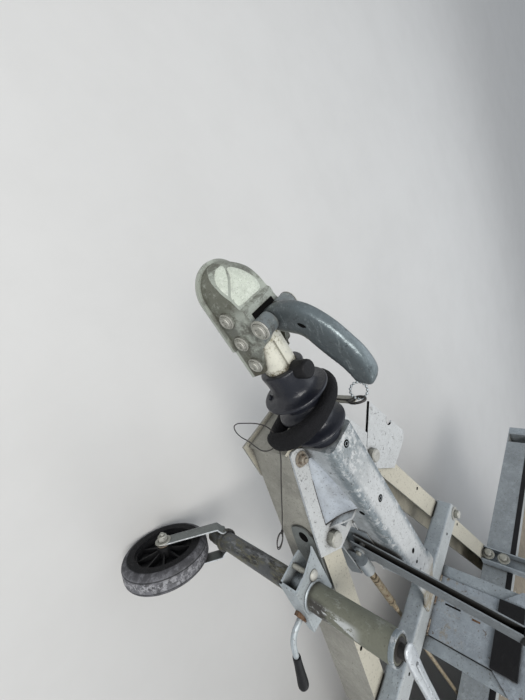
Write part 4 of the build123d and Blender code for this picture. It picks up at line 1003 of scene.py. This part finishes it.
def jockey_crank():
    """A pressed bar with a ridge down its middle, round at the stem's end, and a grip that turns on its pin."""
    where = place((*JOCKEY_XY, 0))
    turn = where @ Matrix.Rotation(CRANK_TURN, 4, "Z")
    across = (turn.to_3x3() @ Vector(ACROSS)).normalized()
    mesh = new()
    arm = [(*(turn @ Vector((0, y, z))), wide, high) for y, z, wide, high in smooth(CRANK_ARM, 4)]
    sweep(mesh, arm, 28, across, 2.6)
    sweep(mesh, [(*(turn @ Vector((0, y, z))), 2.6, 2.2) for y, z in CRANK_RIDGE], 12, across)
    piece("crank_arm", mesh, "bright", replaces=("jockey_crank",))
    mesh = new()
    lathe(mesh, ((9.5, 612), (9.5, 634), (5, 634.6), (0.1, 634.6)), where)
    lathe(mesh, ((16.5, 619.4), (16.5, 620.5), (8, 620.7)), where)
    piece("crank_stem", mesh, "dark")
    mesh = new()
    lathe(mesh, ((4, 652), (11.4, 652), (12.2, 655), (11, 662), (12.2, 690), (12.6, 722), (11.4, 733), (7, 737),
                 (0.1, 738)), turn @ Matrix.Translation((0, CRANK_GRIP_AT, 0)))
    piece("crank_grip", mesh, "plastic")


def jockey_rings():
    where = place((*JOCKEY_XY, 0))
    mesh = new()
    lathe(mesh, ((23.6, 613), (24.6, 614), (25.2, 617.5), (24.4, 620.6), (22.4, 621.6), (20.4, 620.9), (20.2, 619.2)),
          where, 56, loop=True)
    piece("jockey_rim", mesh, "housing")
    mesh = new()
    lathe(mesh, ((23.8, 430), (25.2, 431), (25.2, 434), (23.8, 435)), where, 48, loop=True)
    piece("jockey_foot_ring", mesh, "outer_tube")


def caster():
    """From the jockey's own axes, wheel towards x, to the drawing."""
    return Matrix.Translation((*JOCKEY_XY, 0)) @ Matrix.Rotation(JOCKEY_HEADING, 4, "Z")


def on_axle(side, out):
    """The place and the outward direction, this far out from the small wheel's middle."""
    return caster() @ Vector((JOCKEY_TRAIL, side * out, JOCKEY_R)), caster().to_3x3() @ Vector((0, side, 0))


def jockey_fork():
    """Two pressed straps, bent out of the tube's foot and straight down past the wheel to its pin."""
    mesh = new()
    lathe(mesh, ((20.1, 148), (21, 148.4), (21.2, 150), (21.2, 176), (20.8, 178), (20.1, 178)), caster(), 48, loop=True)
    piece("fork_socket", mesh, "inner_tube", "jockey_caster")
    faces, edges = new(), new()
    across = (caster().to_3x3() @ Vector(TO_TAIL)).normalized()
    for side in SIDES:
        stations = smooth([(*(caster() @ Vector((x, side * offset, z))), 2.2, half)
                           for x, offset, z, half in FORK_STRAP], 2)
        # painted shade: the strap faces take the dark zinc
        sweep(faces, stations, 24, across, 6)
        # painted highlight: the strap edges take the bright zinc
        sweep(edges, [(*s[:3], 1.7, s[4] + 0.7) for s in stations], 24, across, 8)
    piece("fork_straps", faces, "strap_face", "jockey_caster", 50, ("jockey_fork",))
    piece("fork_strap_edges", edges, "bright", "jockey_caster", 50)
    mesh = new()
    for side in SIDES:
        centre, axis = on_axle(side, 38.2)
        bolt(mesh, centre, axis, spin=0.3, nut=side < 0)
        lathe(mesh, ((6, -11), (6, 0)), place(centre, axis), 16)
    piece("fork_axle", mesh, "bolt", "jockey_caster")
    mesh = new()
    for side in SIDES:
        lathe(mesh, ((7, -5.4), (13, -5.4), (14.5, -1.8), (15.5, -1.6), (15.5, 0), (7, 0)), place(*on_axle(side, 33.6)),
              loop=True)
    piece("fork_washers", mesh, "rusty_bolt", "jockey_caster")


def jockey_hub():
    """A moulded wheel centre: rim, dished web with ribs, and a boss round the pin."""
    where = place(*on_axle(1, 0))
    mesh = new()
    lathe(mesh, ((64, -20), (67.8, -20), (67.8, 20), (64, 20), (63, 14), (62.5, 0), (63, -14)), where, 72, loop=True)
    lathe(mesh, ((64, -4), (64, 4), (20, 5), (20, -5)), where, 72, loop=True)
    lathe(mesh, ((6.6, -28), (15, -28), (16.5, -26.5), (18.5, -8), (18.5, 8), (16.5, 26.5), (15, 28), (6.6, 28)), where,
          36, loop=True)
    for i in range(HUB_RIBS):
        turn = where @ Matrix.Rotation(2 * pi * i / HUB_RIBS, 4, "Z")
        for side in SIDES:
            skin(mesh, [[turn @ Vector((x, y, side * z)) for x, y, z in (
                (16, -2.2, inner), (63, -1.8, outer), (63, 1.8, outer), (16, 2.2, inner))] for inner, outer in
                ((3, 3), (20, 13))])
    piece("jockey_wheel_centre", mesh, "plastic", "jockey_wheel", replaces=("jockey_hub",))
    mesh = new()
    for side in SIDES:
        lathe(mesh, ((66, side * 18.5), (70, side * 22), (72.5, side * 22.3), (70, side * 19)), where, 72, loop=True)
    piece("jockey_tyre_beads", mesh, "jockey_rubber", "jockey_wheel")


# ---- breakaway wire, its hook and the beaded ring ----
WIRE = (
    (-62, 286.5, 531), (-62, 287.5, 505), (-66, 288, 478), (-66, 288, 448), (-52, 288.3, 420), (-20, 288.5, 405),
    (20, 288.5, 405), (42, 288.5, 409), (60, 287.5, 430), (77, 284, 432), (87, 278, 420), (81, 272, 394),
    (76, 271, 374), (73, 270.5, 354), (70, 262.5, 340), (66.5, 247.5, 340), (63.5, 239.5, 357), (62, 237, 382),
    (61, 234, 408), (61, 234, 432), (62.5, 238, 448), (66.5, 249, 458), (73, 270, 459), (81, 296, 452),
    (91, 324, 440), (104, 371, 419), (118.5, 423, 397), (129, 460, 380), (137, 488, 367),
)
WIRE_R = 1.1
COIL_POINTS, COIL_PER_TURN = 53, 24
HOOK = ((-62, 286, 533), (-55, 285, 531), (-51, 284, 540), (-53, 283, 553), (-60, 283, 561), (-68, 284, 556),
        (-69, 285, 543))
CHAIN_AT, CHAIN_R, CHAIN_BEADS = (-76, 276, 545), 14.8, 15


def wire_curve(name, points):
    """A smooth line with the points as its controls, drawn as a thin wire."""
    data = bpy.data.curves.new(name, "CURVE")
    data.dimensions = "3D"
    spline = data.splines.new("NURBS")
    spline.points.add(len(points) - 1)
    for target, point in zip(spline.points, points):
        target.co = (*at(*point), 1)
    spline.order_u = 3
    spline.use_endpoint_u = True
    spline.resolution_u = 8
    data.bevel_depth = WIRE_R * MM
    data.bevel_resolution = 3
    data.use_fill_caps = True
    data.materials.append(LOOK["dark"])
    return add_object(name, data)


def breakaway_wire():
    wire = wire_curve("breakaway_wire", WIRE)
    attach(wire, "trailer")
    mesh = new()
    end = Vector(WIRE[-1])
    coil = []
    for i in range(COIL_POINTS):
        angle = 2 * pi * i / COIL_PER_TURN
        run = 17 * (1 - cos(angle)) * (1 - 0.004 * i)
        coil.append((end.x + 0.82 * run, end.y + 0.57 * run, end.z - 2 + 6.5 * sin(angle + 0.25) - 0.05 * i))
    rod(mesh, coil, WIRE_R, 8)
    direction = (end - Vector(WIRE[-2])).normalized()
    lathe(mesh, ((0.8, -9), (2.6, -9), (2.8, -7), (2.8, 1), (0.8, 1)), place(end, direction), 14)
    ends = piece("wire_end_loop", mesh, "dark")


def hook_and_ring():
    mesh = new()
    prism(mesh, ((-9, 0), (9, 0), (9, 78), (5, 86), (-5, 86), (-9, 78)), axes((-66, 292, 452), ACROSS, UP, TO_NOSE), 3,
          0.5)
    piece("cable_tab", mesh, "beam")
    mesh = new()
    rod(mesh, smooth(HOOK, 6, True), 2.4, 12, TO_TAIL, loop=True)
    piece("snap_hook", mesh, "dark")
    towards = (Vector(CAMERA_AT) - Vector(CHAIN_AT)).normalized()
    where = place(CHAIN_AT, towards)
    mesh = new()
    for _, spot in around(where, CHAIN_R, CHAIN_BEADS):
        lathe(mesh, ((0.2, -2.6), (2.1, -1.9), (2.8, 0), (2.1, 1.9), (0.2, 2.6)), place(spot), 12)
    piece("chain_beads", mesh, "zinc", sharp=80)
    mesh = new()
    rod(mesh, [spot for _, spot in around(where, CHAIN_R, 48)], 0.9, 8, towards, loop=True)
    piece("chain_ring", mesh, "dark")


# ---- bed ----
BOARDS, BOARD_GAP = 4, 3
SCREW_ROWS, SCREWS_X = 17, (-880, -600, -300, 0, 300, 600, 880)
RAIL_X, STAKE_END = 665, (1380.5, 941)
LASHING_R, LASHING_STEPS = 22, 12


def bed_details():
    mesh = new()
    y0, y1 = BED_Y[0] + 40, BED_Y[1] - 40
    step = (y1 - y0) / BOARDS
    half = BED_HALF_W - 50
    for i in range(BOARDS):
        block(mesh, (-half, y0 + i * step + BOARD_GAP / 2, BED_TOP - DECK_T),
              (half, y0 + (i + 1) * step - BOARD_GAP / 2, BED_TOP), 1)
    piece("deck_boards", mesh, "plywood", replaces=("deck",))
    mesh = new()
    for row in range(SCREW_ROWS):
        y = y0 + 25 + row * (y1 - y0 - 50) / (SCREW_ROWS - 1)
        for x in SCREWS_X:
            lathe(mesh, ((5.5, -0.4), (5.3, 0.3), (2.2, 0.5), (1.6, -0.2), (0.1, -0.2)), place((x, y, BED_TOP)), 12)
    piece("deck_screws", mesh, "bolt")
    mesh = new()
    block(mesh, (-BED_HALF_W + 2, BED_Y[0] - 1.2, BED_TOP - 14), (BED_HALF_W - 2, BED_Y[0] + 3, BED_TOP + 1.5), 0.6)
    for side in SIDES:
        low, high = sorted((side * (BED_HALF_W - 46), side * (BED_HALF_W - 4)))
        block(mesh, (low, BED_Y[1] - 2, BEAM_TOP + 4), (high, BED_Y[1] + 3.6, BED_TOP - 3), 1)
        lathe(mesh, ((18, -2), (21.2, -2), (21.6, 0), (21, 3.5), (14, 5), (0.1, 5.2)),
              beside(side, BED_HALF_W - 1, *STAKE_END), 36)
        x0 = side * (BED_HALF_W + 18)
        block(mesh, (x0 - 18.6, BED_Y[0] - 0.6, 688), (x0 + 18.6, BED_Y[0] + 36.6, 695), 1.5)
    piece("bed_trim", mesh, "plastic")
    mesh = new()
    for side in SIDES:
        x = side * (beam_x(STAKE_Y) - 28)
        for z in (480, 526):
            bolt(mesh, (x, STAKE_Y, z), TO_NOSE, spin=0.2)
        for z in (760, 880):
            disc(mesh, 7, place((x, STAKE_Y, z), TO_NOSE), 0.4)
        for y in range(1600, 5300, 400):
            bolt(mesh, (side * BED_HALF_W, y, 504), (side, 0, 0), 13, 0.3)
        for y in (2230, 2600, 3000):
            bolt(mesh, (side * RAIL_X, y, BEAM_BOTTOM), (0, 0, -1), 17, 0.3)
    piece("bed_bolts", mesh, "bolt")
    mesh = new()
    for side in SIDES:
        for y in range(1560, 5266, 285):
            if not 2900 < y < 4460:
                sweep(mesh, [(side * (BED_HALF_W - 1 + out), y, 482, r, r)
                             for out, r in ((0, 14), (1, 14.5), (2.4, 13))], 20)
    piece("bed_side_discs", mesh, "bed")
    mesh = new()
    for side in SIDES:
        for y in (1700, 2600, 4700):
            sweep(mesh, [(side * (BED_HALF_W + out), y, 520, a, b) for out, a, b in
                         ((0, 15, 30), (3, 15, 30), (8, 13, 27), (11, 10, 22))], 32, UP, 3.5)
    piece("side_lamps", mesh, "amber")
    mesh = new()
    for side in SIDES:
        for y in (1500, 2300, 3150, 4400, 5250):
            angles = [i * pi / LASHING_STEPS for i in range(LASHING_STEPS + 1)]
            rod(mesh, [(side * (BED_HALF_W - 26), y + LASHING_R * cos(a), BED_TOP + 1 + 20 * abs(sin(a)) ** 0.8)
                       for a in angles], 4.5, 12, ACROSS)
    piece("lashing_rings", mesh, "zinc")


# ---- tail ----
LAMP_X, LAMP_Z = 839, 420
TAIL_Y = BED_Y[1] + 4
REFLECTOR_X, REFLECTOR_Z = 640, 352
PLATE_HALF_W, PLATE_Z = 260, (444, 497)
RAMP_ENDS_X, RAMP_END = (52, 308), (5378.2, 415)


def tail_lens(mesh, x, z, profile, steps=40):
    """One lens on each lamp body; x is from the body's middle, outward."""
    for side in SIDES:
        lathe(mesh, profile, place((side * (LAMP_X + x), TAIL_Y, z), TO_TAIL), steps)


def tail_details():
    mesh = new()
    tail_lens(mesh, 72, LAMP_Z, ((0.1, 43.8), (26, 43.4), (29, 42.4), (30, 38)))
    piece("lamp_indicators", mesh, "amber")
    mesh = new()
    tail_lens(mesh, 0, LAMP_Z, ((0.1, 43.9), (28, 43.5), (31, 42.4), (32, 38)))
    tail_lens(mesh, -66, LAMP_Z + 20, ((0.1, 43.6), (16, 43.3), (18, 42.2), (19, 38)), 32)
    piece("lamp_lenses", mesh, "red")
    mesh = new()
    for side in SIDES:
        x = side * LAMP_X
        block(mesh, (x - 105, TAIL_Y - 0.5, LAMP_Z - 50), (x + 105, TAIL_Y + 40.5, LAMP_Z + 50), 4)
    tail_lens(mesh, -66, LAMP_Z - 24, ((0.1, 43.7), (14, 43.4), (16, 42.2), (17, 38)), 32)
    piece("lamp_bodies", mesh, "plastic", replaces=("rear_lamps",))
    mesh = new()
    for side in SIDES:
        where = axes((side * REFLECTOR_X, TAIL_Y + 6, REFLECTOR_Z), ACROSS, UP, TO_NOSE)
        prism(mesh, ((-60, 0), (60, 0), (0, 104)), where, 6, 2)
    piece("rear_reflectors", mesh, "red")
    mesh = new()
    block(mesh, (-PLATE_HALF_W, TAIL_Y, PLATE_Z[0]), (PLATE_HALF_W, TAIL_Y + 2.5, PLATE_Z[1]))
    piece("blank_plate", mesh, "plate")
    mesh = new()
    for x in (-245, 245):
        bolt(mesh, (x, TAIL_Y + 2.5, 470), TO_TAIL, 8, 0.2, washer=False)
    for x in (-940, -740, -560, 560, 740, 940):
        for z in (352, 488):
            bolt(mesh, (x, TAIL_Y, z), TO_TAIL, 10, 0.2)
    for side in SIDES:
        for x in RAMP_ENDS_X:
            lathe(mesh, ((6, 0), (6, 4), (0.1, 4.4)), place((side * x, *RAMP_END), TO_TAIL), 20)
    piece("tail_bolts", mesh, "bolt")


# ---- winch ----
WINCH_YZ = 888, 995
GEAR_TEETH = 24


def from_winch(*points):
    """Points given from the drum's middle, in the drawing."""
    return [(x, WINCH_YZ[0] + y, WINCH_YZ[1] + z) for x, y, z in points]


def winch_details():
    mesh = new()
    lathe(mesh, ((30, -25), (41, -25), (42, -24), (42, 24), (41, 25), (30, 25)), place((0, *WINCH_YZ), ACROSS), 64,
          lambda angle, height: 1 + 0.012 * (angle / (2 * pi)), loop=True)
    strap = smooth(from_winch((0, -42, -4), (0, -41.5, -16), (0, -34, -40), (0, -20, -62)))
    sweep(mesh, [(*p, 24, 1.3) for p in strap], 16, ACROSS, 6)
    piece("winch_strap", mesh, "strap", sharp=50)
    mesh = new()
    rod(mesh, smooth(from_winch((-24, -20, -62), (0, -20, -63), (24, -20, -62))), 3.6)
    rod(mesh, smooth(from_winch((0, -20, -63), (0, -17, -82), (0, -4, -96), (0, 12, -90), (0, 14, -76), (0, 6, -68))),
        4.4, 16)
    piece("winch_hook", mesh, "zinc")
    mesh = new()
    for side in SIDES:
        lathe(mesh, ((8, 0), (58, 0), (58, 2.5), (8, 2.5)), beside(side, 41, *WINCH_YZ), 48)
        lathe(mesh, ((9, 0), (15, 0), (15, 6), (9, 6)), beside(side, 50, *WINCH_YZ), 24, hex_shape)
    lathe(mesh, ((9, 0), (40, 0), (40, 5), (9, 5)), beside(1, 58, *WINCH_YZ), GEAR_TEETH * 4,
          lambda angle, height: 1 - 0.06 * (0.5 + 0.5 * cos(angle * GEAR_TEETH)))
    piece("winch_flanges", mesh, "zinc")
    mesh = new()
    lathe(mesh, ((9, 0), (13.5, 1), (14.5, 8), (13, 20), (14.6, 55), (14, 92), (11, 101), (0.1, 103)),
          place(*from_winch((88, 0, -158)), ACROSS))
    piece("winch_grip", mesh, "plastic")


# ---- road wheels ----
TREAD_SLOTS, RIBS_Y, RIB_HALF = 64, (-52, -26, 0, 26, 52), 10.6
SIDE_WALL = (  # radius over the rim, distance in from the tyre's side
    (1, 20), (5, 12), (12, 6), (26, 2), (44, 0), (66, 0.6), (70, 0.2), (76, 1.8), (92, 4.5), (104, 10),
    (TYRE_R - 5 - RIM_R, 15),
)
WHEEL_NUTS, NUTS_R, RIM_HOLES, HOLES_R, DISC_OUT = 5, 46, 10, 108, 30


def tread(angle, height):
    """The outer ribs have a narrow slot every few degrees, offset from one side to the other."""
    if abs(height) < 14 or abs(height) > TYRE_W / 2 - 4:
        return 1
    slot = (angle / (2 * pi) * TREAD_SLOTS + (0.5 if height > 0 else 0) + abs(height) * 0.012) % 1
    return 1 - (0.02 if slot < 0.25 else 0)


def road_wheel(name, side, y):
    where = beside(side, WHEEL_X, y, TYRE_R)
    body = f"wheel_{name}"
    crown = []
    for mid in RIBS_Y:
        edge = TYRE_R - 0.0009 * mid * mid
        crown += [(edge, mid - RIB_HALF), (edge, mid + RIB_HALF)]
        if mid < RIBS_Y[-1]:
            crown += [(edge - 7, mid + RIB_HALF + 1), (edge - 7, mid + RIB_HALF + 3.8)]
    wall = [(RIM_R + over, inward - TYRE_W / 2) for over, inward in SIDE_WALL]
    mesh = new()
    lathe(mesh, wall + crown + [(r, -h) for r, h in reversed(wall)], where, 256, tread, loop=True)
    piece(f"road_tyre_{name}", mesh, "road_rubber", body, 30, (f"tyre_{name}",))
    mesh = new()
    for angle, spot in around(where, NUTS_R, WHEEL_NUTS, DISC_OUT, 0.3):
        bolt(mesh, spot, (side, 0, 0), 17, angle, washer=False)
    lathe(mesh, ((32.2, 30), (34, 31), (34, 36), (32.2, 37)), where, 48)
    lathe(mesh, ((3, 0), (3.6, 2), (3.6, 14), (2.6, 16), (0.1, 16.2)),
          place(where @ Vector((150, 0, 44)), (side * 0.8, 0, -0.6)), 12)
    piece(f"wheel_nuts_{name}", mesh, "bolt", body)
    mesh = new()
    for _, spot in around(where, HOLES_R, RIM_HOLES, DISC_OUT, pi / RIM_HOLES):
        sweep(mesh, [(*(spot + Vector((side * out, 0, 0))), r, r) for out, r in ((-3, 13), (0.2, 13), (0.4, 12))], 24)
    piece(f"rim_holes_{name}", mesh, "dark", body)


GUARD_R, GUARD_X, GUARD_FOOT = 330, 1183.7, (967, 560)


def guards():
    """Rolled edges of the mudguards and the bolts at their feet."""
    mesh = new()
    over = [(AXLE_Y[0], d) for d in range(172, 88, -6)] + [(AXLE_Y[1], d) for d in range(90, 6, -6)]
    for side in SIDES:
        rod(mesh, [(side * GUARD_X, y + GUARD_R * cos(radians(d)), TYRE_R - 2 + GUARD_R * sin(radians(d)))
                   for y, d in over], 3.5, 12, ACROSS)
    piece("guard_beads", mesh, "bed")
    mesh = new()
    for side in SIDES:
        for y in (3120, 3400, 3670, 3940, 4220):
            bolt(mesh, (side * GUARD_FOOT[0], y, GUARD_FOOT[1]), (side, 0, 0), 13, 0.3)
    piece("guard_bolts", mesh, "bolt")


def make_floor():
    mesh = new()
    bmesh.ops.create_grid(mesh, x_segments=2, y_segments=2, size=40)
    data = bpy.data.meshes.new("floor")
    mesh.to_mesh(data)
    mesh.free()
    f = Finish("pale_floor", (0.60, 0.595, 0.58), 0.9)
    f.tint(f.noise(3, 0.35, 0.7), (0.56, 0.555, 0.54), 0.5)
    data.materials.append(f.done())
    add_object("floor", data)


def main():
    make_camera()
    breakaway_wire()
    make_world()
    dress_nodes()
    make_floor()
    for make in (coupling_handle, head_pads, head_fasteners, bellows, bellows_ring, housing_webs, housing_fasteners,
                 post_details, brake_gear, jockey_clamp, jockey_crank, jockey_rings, jockey_fork, jockey_hub,
                 hook_and_ring, bed_details, tail_details, winch_details):
        make()
    for row, y in zip(("front", "rear"), AXLE_Y):
        for name, side in (("left", 1), ("right", -1)):
            road_wheel(f"{row}_{name}", side, y)
    guards()


main()
